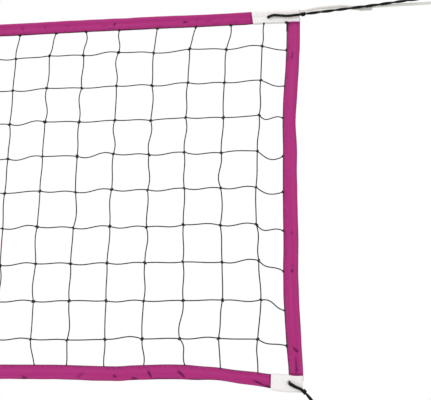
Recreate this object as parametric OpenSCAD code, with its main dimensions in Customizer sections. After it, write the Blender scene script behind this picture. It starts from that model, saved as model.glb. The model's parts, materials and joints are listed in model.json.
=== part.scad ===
// A volleyball net on two free-standing poles, with a winch on the right pole.
// X runs along the net, Y points away from the front and Z is up.
// The origin is on the floor, midway between the poles. The left side mirrors the right.

/* [Net] */
// Distance from the middle to the outermost upright twine
net_half = 4627; // [4560:1:4640]
// Height of the highest level twine
first_row_z = 2330; // [2320:1:2340]
// Height of one mesh
mesh_pitch = 99.4; // [98:0.1:100]
// Meshes from top to bottom
mesh_rows = 10; // [2:1:10]
// Gaps from end to end; the knotted net has about three meshes in each of them
mesh_cols = 30; // [4:1:30]
// Thickness of the twine
twine_d = 2.6; // [2:0.1:4]

/* [Tapes] */
// Height of the top tape's upper edge
top_edge_z = 2434.5; // [2430:0.5:2438]
// Height of the top tape's face
top_tape_h = 34; // [30:1:40]
// Half the length of the top tape
top_tape_half = 4733.5; // [4730:0.5:4736]
// Height of the bottom tape's middle line
bottom_mid_z = 1450; // [1446:1:1454]
// Height of the bottom tape's face
bottom_tape_h = 35; // [30:1:40]
// Half the length of the bottom tape
bottom_tape_half = 4738; // [4736:0.5:4740]
// How far the tie rope pulls each lower corner down
corner_drop = 25; // [0:1:30]
// Width of a side tape
side_tape_w = 34; // [30:1:36]
// Distance from the middle to the top of a side tape's middle line
side_mid_x = 4716.5; // [4714:0.5:4718]
// How much further out the lower end of a side tape lies
side_lean = 4.5; // [0:0.5:5]
// How far a side tape bows towards the mesh
side_bow = 12; // [0:1:15]
// Thickness of a folded tape
tape_t = 4; // [3.8:0.1:5]

/* [Corners] */
// Distance from the middle to the inner edge of a top patch
top_patch_x = 4604; // [4590:1:4620]
// Distance from the middle to the inner edge of a bottom patch
bottom_patch_x = 4660; // [4650:1:4670]
// Thickness of the patch's vinyl
patch_t = 0.8; // [0.5:0.1:1.2]
// Distance from the middle to a top eyelet
top_eyelet_x = 4647; // [4640:1:4655]
// Height of a top eyelet
top_eyelet_z = 2417.5; // [2416:0.5:2418]
// Distance from the middle to a bottom eyelet
bottom_eyelet_x = 4705; // [4695:1:4712]
// Height of a bottom eyelet
bottom_eyelet_z = 1428.5; // [1426:0.5:1430]

/* [Ropes] */
// Diameter of the headline
headline_d = 8; // [6:0.5:8]
// Diameter of a tie rope
tie_d = 5.5; // [4:0.5:6]
// Turns of the headline on the winch drum
drum_turns = 3; // [1:1:3]

/* [Poles] */
// Outer radius of a mast
mast_r = 38; // [36:0.5:39]
// Wall of a mast
mast_wall = 3; // [2:0.5:5]
// Height of a mast's lower end
mast_low_z = 230; // [225:5:250]
// Height of a mast's upper end
mast_top_z = 2350; // [2340:1:2354]
// Height of a mast sleeve's upper end
sleeve_top_z = 560; // [540:5:570]
// Wall of a mast sleeve
sleeve_wall = 5.2; // [4:0.1:6]

/* [Bases] */
// Length of a base plate along the net
base_w = 600; // [560:10:600]
// Depth of a base plate
base_d = 700; // [680:10:760]
// Thickness of a base plate
base_t = 10; // [8:1:12]
// How far the base plate's middle lies outside the pole's axis
base_out = 80; // [70:5:80]
// Spacing of the anchor holes along the net
anchor_x = 520; // [480:10:520]
// Spacing of the anchor holes in depth
anchor_y = 600; // [590:10:610]
// Height of a rubber foot
foot_h = 6; // [4:1:10]
// Radius of a transport wheel
wheel_r = 50; // [46:1:50]
// Height of a ballast block
ballast_h = 90; // [60:5:100]

/* [Hidden] */
$fn = 64;

magenta = [0.71, 0.2, 0.51];
twine_black = [0.13, 0.13, 0.14];
vinyl_white = [0.93, 0.93, 0.91];
rope_white = [0.86, 0.86, 0.84];
rope_black = [0.06, 0.06, 0.06];
nickel = [0.72, 0.72, 0.7];
zinc = [0.62, 0.64, 0.66];
aluminium = [0.78, 0.79, 0.8];
base_grey = [0.25, 0.27, 0.3];
cast_black = [0.15, 0.15, 0.16];
rubber = [0.08, 0.08, 0.08];
nylon = [0.9, 0.89, 0.84];
knob_black = [0.12, 0.12, 0.12];

// A sewn layer clears the one under it by this much.
layer_gap = 0.1;
// A pin or a shaft clears its bore by this much.
run_gap = 0.06;
// Faces on different bodies keep this far apart.
body_gap = 0.3;
headline_r = headline_d / 2;
tie_r = tie_d / 2;
// Distance from the middle to a pole's axis, where the tie ropes' routes end
pole_x = 5250;

// Net
net_border = 6;
// The net's border stops this far round a bottom eyelet.
net_corner_cut = 18;
net_edge = side_mid_x - side_bow;
top_low_z = top_edge_z - top_tape_h;
function smooth(u) = let(c = max(0, min(1, u))) c * c * (3 - 2 * c);
drop_start = 4450;
drop_run = 280;
function bottom_mid(x) = bottom_mid_z - corner_drop * smooth((abs(x) - drop_start) / drop_run);
function twine_x(i) = -net_half + 2 * net_half * i / (mesh_cols - 2);
function row_z(j) = first_row_z - mesh_pitch * (j - 1);
function gap_left(c) = c == 0 ? -net_edge : twine_x(c - 1) + twine_d / 2;
function gap_right(c) = c == mesh_cols - 1 ? net_edge : twine_x(c) - twine_d / 2;
function gap_top(r) = r == 0 ? top_low_z + net_border : row_z(r) - twine_d / 2;
function gap_low(r, x) =
    r == mesh_rows - 1 ? bottom_mid(x) + net_border / 2 : row_z(r + 1) + twine_d / 2;
function mesh_gap(c, r) = [
    [gap_left(c), gap_low(r, gap_left(c))],
    [gap_right(c), gap_low(r, gap_right(c))],
    [gap_right(c), gap_top(r)],
    [gap_left(c), gap_top(r)]
];
net_out = net_edge + net_border;
net_low = [for (i = [0:mesh_cols - 2]) [twine_x(i), bottom_mid(twine_x(i)) - net_border / 2]];
net_outline = concat(
    [[-net_out, bottom_mid(net_out) - net_border / 2]],
    net_low,
    [[net_out, bottom_mid(net_out) - net_border / 2]],
    [[net_out, gap_top(0) + net_border], [-net_out, gap_top(0) + net_border]]
);

// Tapes
hem_wall = 0.8;
hem_bore_r = headline_r + 0.4;
hem_r = hem_bore_r + hem_wall;
hem_z = top_edge_z - hem_r;
side_t = tape_t - 0.4;
side_steps = 16;
side_low_z = bottom_mid(bottom_tape_half) + 6;
side_high_z = top_low_z + 10;
function side_mid(t) = side_mid_x + side_lean * (1 - t) - side_bow * sin(180 * t);
function side_z(t) = side_low_z + (side_high_z - side_low_z) * t;
function side_edge(dx, ts) = [for (t = ts) [side_mid(t) + dx, side_z(t)]];
side_outline = concat(
    side_edge(-side_tape_w / 2, [for (i = [0:side_steps]) i / side_steps]),
    side_edge(side_tape_w / 2, [for (i = [side_steps:-1:0]) i / side_steps])
);
drop_steps = 7;
drop_xs = [for (i = [0:drop_steps]) drop_start + drop_run * i / drop_steps];
function bottom_xs(half) = concat(
    [-half],
    [for (i = [drop_steps:-1:0]) -drop_xs[i]],
    drop_xs,
    [half]
);
function bottom_edge(xs, dz) = [for (x = xs) [x, bottom_mid(x) + dz]];
function reversed(list) = [for (i = [len(list) - 1:-1:0]) list[i]];
function band(xs, low, high) = concat(bottom_edge(xs, low), reversed(bottom_edge(xs, high)));

// Corners
eyelet_bore_r = 4.2;
eyelet_barrel_r = 5;
eyelet_flange_r = 6.4;
patch_face = tape_t / 2 + layer_gap + patch_t;
eyelet_face = patch_face + layer_gap + 0.8;
hitch_bead_r = 4.9;
hitch_y = -(eyelet_face + hitch_bead_r + layer_gap);
knot_r = 6.5;
top_knot = [4743, hitch_y, 2422];
bottom_knot = [4744, hitch_y, 1406];

// Routes of the right-hand tie ropes, from the knot at the net to the hitch on the pole.
top_tie_route = [
    [4748, -9, 2422], [4772, -9, 2423], [4803, -9, 2425.5], [4835, -9, 2429],
    [4866, -9, 2431.5], [4895, -9, 2434], [4925, -9, 2436.5], [4955, -9, 2439],
    [4985, -9, 2441.5], [5015, -9, 2444], [5045, -9, 2446.5], [5075, -9, 2449],
    [5105, -9, 2451.5], [5132, -9, 2453.5], [5158, -9, 2455.5], [5184, -9, 2457.5]
];
bottom_tie_route = [
    [4746, -9, 1403], [4775, -9, 1367], [4803, -8, 1331], [4832, -8, 1294],
    [4860, -7, 1258], [4889, -7, 1222], [4918, -6, 1185], [4946, -5, 1149],
    [4974, -5, 1114], [5002, -4, 1079], [5030, -3, 1045], [5058, -3, 1011],
    [5086, -2, 977], [5114, -1, 944], [5142, -1, 911], [5169, 0, 879]
];
tie_sides = 8;

// The headline's level over the pulley and round its pin, and its drop beside the winch pole.
head_rope_z = 2438;
rope_drop_u = 60;

// Pole parts are drawn about the right pole's axis: u points outwards from the net.
bush_gap = body_gap;
bush_in_r = mast_r + bush_gap;
sleeve_in_r = bush_in_r + 1;
sleeve_out_r = sleeve_in_r + sleeve_wall;
base_top_z = foot_h + base_t;
flange_r = sleeve_out_r + 33.5;
flange_t = 10;
flange_bolt_r = 6;
flange_bolt_circle = flange_r - 16;
collar_out_r = sleeve_out_r + 9.5;
collar_h = 79;
collar_low_z = sleeve_top_z - 35;
collar_step_z = sleeve_top_z + 5;
knob_z = sleeve_top_z + 25;
knob_stud_r = 6;
knob_front_y = -96;
knob_back_y = -74;

// Head of a pole
head_t = 8;
head_gap_y = 13;
cheek_t = 4;
pin_r = 6;
tie_pin_r = 4;
tie_pin = [-38, 2459];
tie_loop_r = tie_pin_r + 0.4 + tie_r;
pulley_groove_r = 30.2;
pulley_rope_r = pulley_groove_r + body_gap + headline_r;
pulley_pin = [rope_drop_u - pulley_rope_r, head_rope_z - pulley_rope_r];
eye_pin = [-8, head_rope_z];
eye_loop_r = pin_r + 0.4 + headline_r;

// Rope bracket on a mast
bracket_z = 860;
bracket_pin = [-65, bracket_z];

// Winch
winch_z = 1200;
drum_core_r = 20;
drum_rope_r = drum_core_r + body_gap + headline_r;
winch_u = rope_drop_u + drum_rope_r;
drum_half = 30;
flange_out_r = 34;
cheek_in_y = 40;
shaft_r = 8;
crank_len = 160;
crank_y = 60;
crank_t = 8;
grip_r = 13;
grip_pin_r = 5;
grip_start = crank_y + crank_t + 2;
grip_end = grip_start + 104;
u_bolt_r = 4;
u_bolt_bend_r = mast_r + 0.2 + u_bolt_r;
u_bolt_z = [winch_z - 55, winch_z + 55];
ratchet_teeth = 16;
ratchet_in_r = 25;
ratchet_out_r = 30;
ratchet_y = 34;
ratchet_t = 4;
pawl_pivot = [34, 40];
// The pawl rests clear of the teeth, this many degrees above the valley that it drops into.
pawl_hold = 9;
ratchet_step = 360 / ratchet_teeth;
function polar(r, a) = [r * cos(a), r * sin(a)];
ratchet_outline = [
    for (k = [0:ratchet_teeth - 1], tip = [1, 0])
        tip == 1 ? polar(ratchet_out_r, k * ratchet_step) : polar(ratchet_in_r, (k + 1) * ratchet_step)
];

// Turns of the headline on the drum: one unbroken tube.
turn_pitch = headline_d + 0.5;
turn_rings = 24;
turn_sides = 6;
turn_lead = headline_d;
turn_points = [
    for (i = [0:drum_turns * turn_rings])
        let(a = 180 + 360 * i / turn_rings)
        [drum_rope_r * cos(a), -turn_pitch * i / turn_rings, drum_rope_r * sin(a)]
];
turn_last = turn_points[len(turn_points) - 1];
turn_path = concat(
    [[-drum_rope_r, 0, turn_lead]],
    turn_points,
    [[turn_last[0], turn_last[1], turn_last[2] - turn_lead]]
);
turn_gaps = [
    for (i = [0:len(turn_points) - 1], j = [i + turn_rings / 2:len(turn_points) - 1])
        norm(turn_points[i] - turn_points[j]) - headline_d
];
echo(least_gap_between_turns_mm = min(turn_gaps));

// Ballast blocks, one on each side of the sleeve
ballast_u = 220;
ballast_y = 130;
ballast_w = 200;
ballast_d = 240;
ballast_bolt_r = 8;

// The headline's centre line, from the end of its tail to the drum: one unbroken tube.
headline_sides = 8;
arc_steps = 12;
tail_step = headline_d + 0.6;
eye_x = -(pole_x + eye_pin[0]);
bight_low_z = eye_pin[1] - eye_loop_r;
bight_top_z = bight_low_z + tail_step;
bight_bindings = [eye_x + 92, eye_x + 130];
hem_out = top_tape_half + 10;
pulley_x = pole_x + pulley_pin[0];
bight = [
    for (i = [0:arc_steps])
        let(a = 270 - 180 * i / arc_steps)
        [eye_x + eye_loop_r * cos(a), 0, eye_pin[1] + eye_loop_r * sin(a)]
];
over_pulley = [
    for (i = [0:arc_steps])
        let(a = 90 - 90 * i / arc_steps)
        [pulley_x + pulley_rope_r * cos(a), 0, pulley_pin[1] + pulley_rope_r * sin(a)]
];
headline_path = concat(
    [[eye_x + 150, 0, bight_low_z]],
    bight,
    [[eye_x + 68, 0, bight_top_z], [eye_x + 160, 0, bight_top_z]],
    [[-hem_out, 0, hem_z], [hem_out, 0, hem_z]],
    [[4775, 0, 2435], [4811, 0, 2438.5], [4846, 0, 2440.5], [4880, 0, 2439], [4925, 0, 2437.5]],
    over_pulley,
    [[pole_x + rope_drop_u, 0, winch_z + turn_lead]]
);

// Wheels
wheel_w = 36;
wheel_y = 300;
wheel_u = base_out + base_w / 2 + 45;
wheel_z = wheel_r + 4;
axle_r = 8;
lug_t = 5;

// A tube of flat sides along a path that never runs along Y.
function path_step(path, i) =
    path[min(i + 1, len(path) - 1)] - path[max(i - 1, 0)];
function unit(v) = v / norm(v);
function tube_ring(path, i, r, sides) =
    let(t = unit(path_step(path, i)), n = unit(cross([0, 1, 0], t)), b = cross(t, n))
    [for (k = [0:sides - 1]) path[i] + r * (cos(360 * k / sides) * n + sin(360 * k / sides) * b)];
module tube(path, r, sides) {
    rings = len(path);
    points = [for (i = [0:rings - 1]) each tube_ring(path, i, r, sides)];
    walls = [
        for (i = [0:rings - 2], k = [0:sides - 1])
            let(a = i * sides + k, b = i * sides + (k + 1) % sides)
            each [[a, a + sides, b], [b, a + sides, b + sides]]
    ];
    last = (rings - 1) * sides;
    start_cap = [for (k = [1:sides - 2]) [0, k, k + 1]];
    end_cap = [for (k = [1:sides - 2]) [last, last + k + 1, last + k]];
    polyhedron(points, concat(walls, start_cap, end_cap));
}

module in_net_plane(t) {
    rotate([90, 0, 0]) linear_extrude(t, center = true) children();
}

module across_net(y_low, y_high) {
    translate([0, y_high, 0]) rotate([90, 0, 0]) linear_extrude(y_high - y_low) children();
}

module rod_y(r, y_low, y_high) {
    translate([0, y_high, 0]) rotate([90, 0, 0]) cylinder(r = r, h = y_high - y_low);
}

module rod(p, q, r) {
    v = q - p;
    translate(p) rotate([0, acos(v[2] / norm(v)), atan2(v[1], v[0])]) cylinder(r = r, h = norm(v));
}

module ring_y(bend_r, r) {
    rotate([90, 0, 0]) rotate_extrude() translate([bend_r, 0]) circle(r);
}

module on_side(side) {
    if (side > 0) children();
    else mirror([1, 0, 0]) children();
}

module at_pole(side) {
    on_side(side) translate([pole_x, 0, 0]) children();
}

module rounded_plate(w, d, r) {
    square([w - 2 * r, d], center = true);
    square([w, d - 2 * r], center = true);
    for (x = [-1, 1], y = [-1, 1])
        translate([x * (w / 2 - r), y * (d / 2 - r)]) circle(r);
}

// ---- Net ----

module net_mesh() {
    color(twine_black) in_net_plane(twine_d) difference() {
        polygon(net_outline);
        for (c = [0:mesh_cols - 1], r = [0:mesh_rows - 1])
            polygon(mesh_gap(c, r));
        for (s = [-1, 1])
            translate([s * bottom_eyelet_x, bottom_eyelet_z]) square(net_corner_cut, center = true);
    }
}

module top_section(grow) {
    translate([0, hem_z]) circle(hem_r + grow);
    translate([-tape_t / 2 - grow, top_low_z]) square([tape_t + 2 * grow, hem_z - top_low_z]);
}

module along_net(x_low, x_high) {
    translate([x_low, 0, 0]) rotate([90, 0, 90]) linear_extrude(x_high - x_low) children();
}

module top_tape() {
    color(magenta) difference() {
        along_net(-top_tape_half, top_tape_half) difference() {
            top_section(0);
            translate([0, hem_z]) circle(hem_bore_r);
        }
        for (s = [-1, 1])
            translate([s * top_eyelet_x, 0, top_eyelet_z])
                rod_y(eyelet_barrel_r + layer_gap, -tape_t, tape_t);
    }
}

module bottom_tape() {
    xs = bottom_xs(bottom_tape_half);
    color(magenta) difference() {
        in_net_plane(tape_t) polygon(band(xs, -bottom_tape_h / 2, bottom_tape_h / 2));
        for (s = [-1, 1])
            translate([s * bottom_eyelet_x, 0, bottom_eyelet_z])
                rod_y(eyelet_barrel_r + layer_gap, -tape_t, tape_t);
    }
}

module side_tape(side) {
    color(magenta) on_side(side) difference() {
        in_net_plane(side_t) polygon(side_outline);
        translate([bottom_eyelet_x, 0, bottom_eyelet_z])
            rod_y(eyelet_barrel_r + layer_gap, -tape_t, tape_t);
    }
}

module top_patch(side) {
    color(vinyl_white) on_side(side) difference() {
        along_net(top_patch_x, top_tape_half) difference() {
            top_section(layer_gap + patch_t);
            top_section(layer_gap);
            translate([-tape_t / 2 - layer_gap, top_low_z - 1]) square([tape_t + 2 * layer_gap, 2]);
        }
        translate([top_eyelet_x, 0, top_eyelet_z])
            rod_y(eyelet_barrel_r + layer_gap, -2 * tape_t, 2 * tape_t);
    }
}

module bottom_patch(side) {
    outer_xs = [for (i = [0:4]) bottom_patch_x + (bottom_tape_half + 1.4 - bottom_patch_x) * i / 4];
    inner_xs = [for (i = [-1:4]) bottom_patch_x + (bottom_tape_half + 0.4 - bottom_patch_x) * i / 4];
    half = bottom_tape_h / 2;
    color(vinyl_white) on_side(side) difference() {
        in_net_plane(2 * patch_face) polygon(band(outer_xs, -half - 1.2, half));
        in_net_plane(tape_t + 2 * layer_gap) polygon(band(inner_xs, -half - 0.4, half + 5));
        translate([bottom_eyelet_x, 0, bottom_eyelet_z])
            rod_y(eyelet_barrel_r + layer_gap, -2 * tape_t, 2 * tape_t);
    }
}

module eyelet() {
    difference() {
        union() {
            rod_y(eyelet_barrel_r, -eyelet_face, eyelet_face);
            rod_y(eyelet_flange_r, -eyelet_face, -patch_face - layer_gap);
            rod_y(eyelet_flange_r, patch_face + layer_gap, eyelet_face);
        }
        rod_y(eyelet_bore_r, -2 * eyelet_face, 2 * eyelet_face);
    }
}

module eyelets() {
    color(nickel) for (s = [-1, 1]) {
        translate([s * top_eyelet_x, 0, top_eyelet_z]) eyelet();
        translate([s * bottom_eyelet_x, 0, bottom_eyelet_z]) eyelet();
    }
}

// A doubled loop from the back of the eyelet, through it and along the front to the knot.
module corner_hitch(eyelet, knot) {
    start = [eyelet[0], hitch_y, eyelet[1]];
    across = unit(cross([0, 1, 0], knot - start)) * (tie_r + 0.1);
    for (s = [-1, 1]) rod(start + s * across, knot + s * across, tie_r);
    translate(start) sphere(hitch_bead_r);
    rod(start, [eyelet[0], 9, eyelet[1]], tie_r);
    translate([eyelet[0], 9.6, eyelet[1]]) sphere(5.5);
    translate(knot) sphere(knot_r);
}

module corner_hitches() {
    color(rope_black) for (s = [-1, 1]) on_side(s) {
        corner_hitch([top_eyelet_x, top_eyelet_z], top_knot);
        corner_hitch([bottom_eyelet_x, bottom_eyelet_z], bottom_knot);
    }
}

// A knot at the end of a tie rope and the loop beyond it, round a pin on the pole.
module pole_hitch(rope_end, pin) {
    pin_at = [pole_x + pin[0], rope_end[1], pin[1]];
    towards = unit(pin_at - rope_end);
    knot = rope_end + 4 * towards;
    translate(pin_at) ring_y(tie_loop_r, tie_r);
    rod(knot, pin_at - tie_loop_r * towards, tie_r);
    translate(knot) sphere(knot_r);
}

module pole_hitches() {
    color(rope_black) for (s = [-1, 1]) on_side(s) {
        pole_hitch(top_tie_route[len(top_tie_route) - 1], tie_pin);
        pole_hitch(bottom_tie_route[len(bottom_tie_route) - 1], bracket_pin);
    }
}

// The headline: a bight round the left pole's pin, the hem, the head pulley and the winch.
module headline_rope() {
    color(rope_white) {
        tube(headline_path, headline_r, headline_sides);
        for (x = bight_bindings) translate([x, 0, bight_low_z]) binding();
    }
}

// A whipping that binds the bight's tail to the rope above it.
module binding() {
    along_net(-9, 9) difference() {
        binding_outline(headline_r + 1.6);
        binding_outline(headline_r + 0.2);
    }
}

module binding_outline(r) {
    circle(r);
    translate([0, tail_step]) circle(r);
    translate([-r, 0]) square([2 * r, tail_step]);
}

module headline_turns() {
    color(rope_white) translate([pole_x + winch_u, 0, winch_z]) tube(turn_path, headline_r, turn_sides);
}

module tie_rope(route, side) {
    color(rope_black) on_side(side) tube(route, tie_r, tie_sides);
}

// ---- Bases ----

module base_plate(side) {
    color(base_grey) at_pole(side) translate([0, 0, foot_h]) linear_extrude(base_t) difference() {
        translate([base_out, 0]) rounded_plate(base_w, base_d, 60);
        for (x = [-1, 1], y = [-1, 1])
            translate([base_out + x * anchor_x / 2, y * anchor_y / 2]) circle(7);
        for (a = [45:90:315])
            translate(polar(flange_bolt_circle, a)) circle(flange_bolt_r + 0.2);
    }
}

module feet(side) {
    color(rubber) at_pole(side) for (x = [-1, 1], y = [-1, 1])
        translate([base_out + x * (base_w / 2 - 95), y * (base_d / 2 - 110), 0])
            cylinder(r = 35, h = foot_h);
}

module ballast(side) {
    color(cast_black) at_pole(side) for (y = [-1, 1])
        translate([ballast_u, y * ballast_y, base_top_z]) linear_extrude(ballast_h) difference() {
            rounded_plate(ballast_w, ballast_d, 20);
            circle(ballast_bolt_r + 0.5);
        }
}

module ballast_bolts(side) {
    color(zinc) at_pole(side) for (y = [-1, 1]) translate([ballast_u, y * ballast_y, base_top_z]) {
        cylinder(r = ballast_bolt_r, h = ballast_h + 22);
        translate([0, 0, ballast_h + 0.2]) cylinder(r = 20, h = 3);
        translate([0, 0, ballast_h + 2]) cylinder(r = 14, h = 13, $fn = 6);
    }
}

module sleeve(side) {
    color(base_grey) at_pole(side) translate([0, 0, base_top_z]) difference() {
        union() {
            cylinder(r = sleeve_out_r, h = sleeve_top_z - base_top_z);
            cylinder(r = flange_r, h = flange_t);
            for (a = [0:90:270]) rotate([0, 0, a]) in_net_plane(6)
                polygon([
                    [sleeve_in_r + 2, 0],
                    [flange_r - 4, 0],
                    [flange_r - 4, 18],
                    [sleeve_in_r + 2, 120]
                ]);
        }
        translate([0, 0, -1]) cylinder(r = sleeve_in_r, h = sleeve_top_z);
        for (a = [45:90:315]) rotate([0, 0, a]) translate([flange_bolt_circle, 0, -1])
            cylinder(r = flange_bolt_r + 0.2, h = flange_t + 2);
    }
}

module sleeve_bolts(side) {
    color(zinc) at_pole(side) for (a = [45:90:315])
        rotate([0, 0, a]) translate([flange_bolt_circle, 0, foot_h + 1]) {
            cylinder(r = flange_bolt_r, h = base_t + flange_t + 2);
            translate([0, 0, base_t + flange_t - 0.9]) cylinder(r = 10.5, h = 8, $fn = 6);
        }
}

module bushes(side) {
    out_r = sleeve_in_r - layer_gap;
    color(nylon) at_pole(side) {
        translate([0, 0, mast_low_z + 15]) difference() {
            cylinder(r = out_r, h = 60);
            translate([0, 0, -1]) cylinder(r = bush_in_r, h = 62);
        }
        translate([0, 0, sleeve_top_z - 60]) difference() {
            union() {
                cylinder(r = out_r, h = 64);
                translate([0, 0, 60.1]) cylinder(r = sleeve_out_r - 0.5, h = 3.9);
            }
            translate([0, 0, -1]) cylinder(r = bush_in_r, h = 66);
        }
    }
}

module clamp_collar(side) {
    color(cast_black) at_pole(side) difference() {
        union() {
            translate([0, 0, collar_low_z]) cylinder(r = collar_out_r, h = collar_h);
            translate([0, 0, knob_z]) rod_y(14, knob_back_y + 2, -mast_r - 4);
        }
        translate([0, 0, collar_low_z - 1])
            cylinder(r = sleeve_out_r + layer_gap, h = collar_step_z - collar_low_z + 1);
        translate([0, 0, collar_low_z]) cylinder(r = bush_in_r + layer_gap, h = collar_h + 1);
        translate([0, 0, knob_z]) rod_y(knob_stud_r + run_gap, knob_back_y - 1, -mast_r + 2);
    }
}

module clamp_knob(side) {
    color(knob_black) at_pole(side) translate([0, 0, knob_z]) {
        rod_y(knob_stud_r, knob_back_y - 2, -mast_r - 0.4);
        across_net(knob_front_y, knob_back_y) {
            circle(23);
            for (a = [0:60:300]) translate(polar(22, a)) circle(7);
        }
    }
}

module wheel_bracket(side) {
    strip_u = base_out + base_w / 2 - 15;
    color(base_grey) at_pole(side) difference() {
        union() {
            translate([strip_u, 0, base_top_z + 3]) cube([30, 660, 6], center = true);
            for (y = [-1, 1], s = [-1, 1])
                translate([0, y * wheel_y + s * (wheel_w / 2 + 1 + lug_t / 2), 0]) in_net_plane(lug_t) {
                    polygon([
                        [strip_u - 15, base_top_z],
                        [strip_u + 15, base_top_z],
                        [wheel_u, wheel_z - 18],
                        [wheel_u, wheel_z + 18],
                        [strip_u - 15, base_top_z + 20]
                    ]);
                    translate([wheel_u, wheel_z]) circle(18);
                }
        }
        translate([wheel_u, 0, wheel_z]) rod_y(axle_r + run_gap, -400, 400);
    }
}

module axle(side) {
    out_y = wheel_y + wheel_w / 2 + 1 + lug_t + 1;
    color(zinc) at_pole(side) translate([wheel_u, 0, wheel_z]) {
        rod_y(axle_r, -out_y - 4, out_y + 4);
        for (s = [-1, 1]) translate([0, s * (out_y + 2), 0]) rod_y(13, -2, 2);
    }
}

// One transport wheel: a tyre on a dished hub.
module wheel(side, y) {
    half = wheel_w / 2;
    color(rubber) at_pole(side) translate([wheel_u, y, wheel_z]) rotate([90, 0, 0]) rotate_extrude()
        polygon([
            [axle_r + run_gap, -half],
            [18, -half],
            [20, -8],
            [34, -8],
            [36, -half],
            [wheel_r - 5, -half],
            [wheel_r, -half + 5],
            [wheel_r, half - 5],
            [wheel_r - 5, half],
            [36, half],
            [34, 8],
            [20, 8],
            [18, half],
            [axle_r + run_gap, half]
        ]);
}

// ---- Masts ----

module mast(side) {
    color(aluminium) at_pole(side) translate([0, 0, mast_low_z]) difference() {
        cylinder(r = mast_r, h = mast_top_z - mast_low_z);
        translate([0, 0, -1]) cylinder(r = mast_r - mast_wall, h = mast_top_z - mast_low_z + 2);
    }
}

// Two cheeks on a cap that plugs into the mast; the rope's pin lies at pin_at.
module head_fork(side, pin_at) {
    cap_top = mast_top_z + head_t;
    color(cast_black) at_pole(side) {
        translate([0, 0, mast_top_z - 30]) cylinder(r = mast_r - mast_wall - layer_gap, h = 31);
        translate([0, 0, mast_top_z + layer_gap]) cylinder(r = mast_r + 2, h = head_t);
        for (s = [-1, 1]) translate([0, s * (head_gap_y + cheek_t / 2), 0]) in_net_plane(cheek_t)
            difference() {
                union() {
                    polygon([
                        [-34, cap_top - 1],
                        [36, cap_top - 1],
                        [44, pulley_pin[1]],
                        [tie_pin[0] + 8, tie_pin[1] + 9],
                        [tie_pin[0] - 12, tie_pin[1]]
                    ]);
                    translate(tie_pin) circle(12);
                    translate(pin_at) circle(16);
                }
                translate(tie_pin) circle(tie_pin_r + run_gap);
                translate(pin_at) circle(pin_r + run_gap);
            }
    }
}

module headed_pin(at, r, half) {
    translate([at[0], 0, at[1]]) {
        rod_y(r, -half - 3, half + 3);
        for (s = [-1, 1]) translate([0, s * (half + 1.7), 0]) rod_y(r + 3, -1.3, 1.3);
    }
}

module pins(side, pin_at) {
    out = head_gap_y + cheek_t;
    color(zinc) at_pole(side) {
        headed_pin(tie_pin, tie_pin_r, out);
        headed_pin(pin_at, pin_r, out);
        headed_pin(bracket_pin, tie_pin_r, 14);
    }
}

// The winch pole's pins include the one that the pawl swings on.
module winch_pole_pins() {
    pins(1, pulley_pin);
    color(zinc) at_winch() translate([pawl_pivot[0], 0, pawl_pivot[1]]) {
        rod_y(4, ratchet_y - 2, 46);
        rod_y(7, ratchet_y - 3, ratchet_y - 0.5);
        rod_y(7, 44.2, 46);
    }
}

// A ring round the mast with two ears for the lower tie rope's pin.
module rope_bracket(side) {
    color(cast_black) at_pole(side) difference() {
        union() {
            translate([0, 0, bracket_z - 20]) cylinder(r = mast_r + 8, h = 40);
            for (s = [-1, 1]) translate([0, s * 12, 0]) in_net_plane(4) {
                polygon([[-36, bracket_z - 14], [-36, bracket_z + 14],
                    [bracket_pin[0], bracket_z + 11], [bracket_pin[0], bracket_z - 11]]);
                translate(bracket_pin) circle(11);
            }
        }
        translate([0, 0, bracket_z - 21]) cylinder(r = mast_r + layer_gap, h = 42);
        translate([bracket_pin[0], 0, bracket_pin[1]]) rod_y(tie_pin_r + run_gap, -20, 20);
    }
}

module head_pulley() {
    half = head_gap_y - 1;
    color(nylon) at_pole(1) translate([pulley_pin[0], 0, pulley_pin[1]]) rotate([90, 0, 0])
        rotate_extrude() difference() {
            union() {
                translate([pin_r + run_gap, -half]) square([7, 2 * half]);
                translate([pin_r + run_gap, -8]) square([37 - pin_r - run_gap, 16]);
            }
            translate([pulley_rope_r, 0]) circle(headline_r + body_gap);
            translate([pulley_rope_r, -headline_r - body_gap]) square([20, headline_d + 2 * body_gap]);
        }
}

// ---- Winch ----

module at_winch() {
    at_pole(1) translate([winch_u, 0, winch_z]) children();
}

module winch_frame() {
    back_u = mast_r + body_gap - winch_u;
    color(base_grey) at_winch() difference() {
        union() {
            translate([back_u, -54, -70]) cube([5, 108, 140]);
            for (s = [-1, 1]) translate([0, s * (cheek_in_y + 2), 0]) in_net_plane(4)
                polygon([
                    [back_u + 4, -40],
                    [14, -36],
                    [46, 0],
                    [46, 50],
                    [22, 52],
                    [14, 40],
                    [back_u + 4, 40]
                ]);
        }
        rod_y(shaft_r + run_gap, -60, 60);
        translate([pawl_pivot[0], 0, pawl_pivot[1]]) rod_y(4 + run_gap, 0, 60);
        for (z = u_bolt_z, s = [-1, 1])
            rod(
                [back_u - 2, s * u_bolt_bend_r, z - winch_z],
                [back_u + 8, s * u_bolt_bend_r, z - winch_z],
                u_bolt_r + 0.3
            );
    }
}

module winch_u_bolts() {
    nut_u = mast_r + body_gap + 5.1;
    color(zinc) at_pole(1) for (z = u_bolt_z) translate([0, 0, z]) {
        rotate([0, 0, 90]) rotate_extrude(angle = 180) translate([u_bolt_bend_r, 0]) circle(u_bolt_r);
        for (s = [-1, 1]) {
            rod([0, s * u_bolt_bend_r, 0], [nut_u + 9, s * u_bolt_bend_r, 0], u_bolt_r);
            translate([nut_u, s * u_bolt_bend_r, 0]) rotate([0, 90, 0]) cylinder(r = 7.4, h = 6.5, $fn = 6);
        }
    }
}

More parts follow.
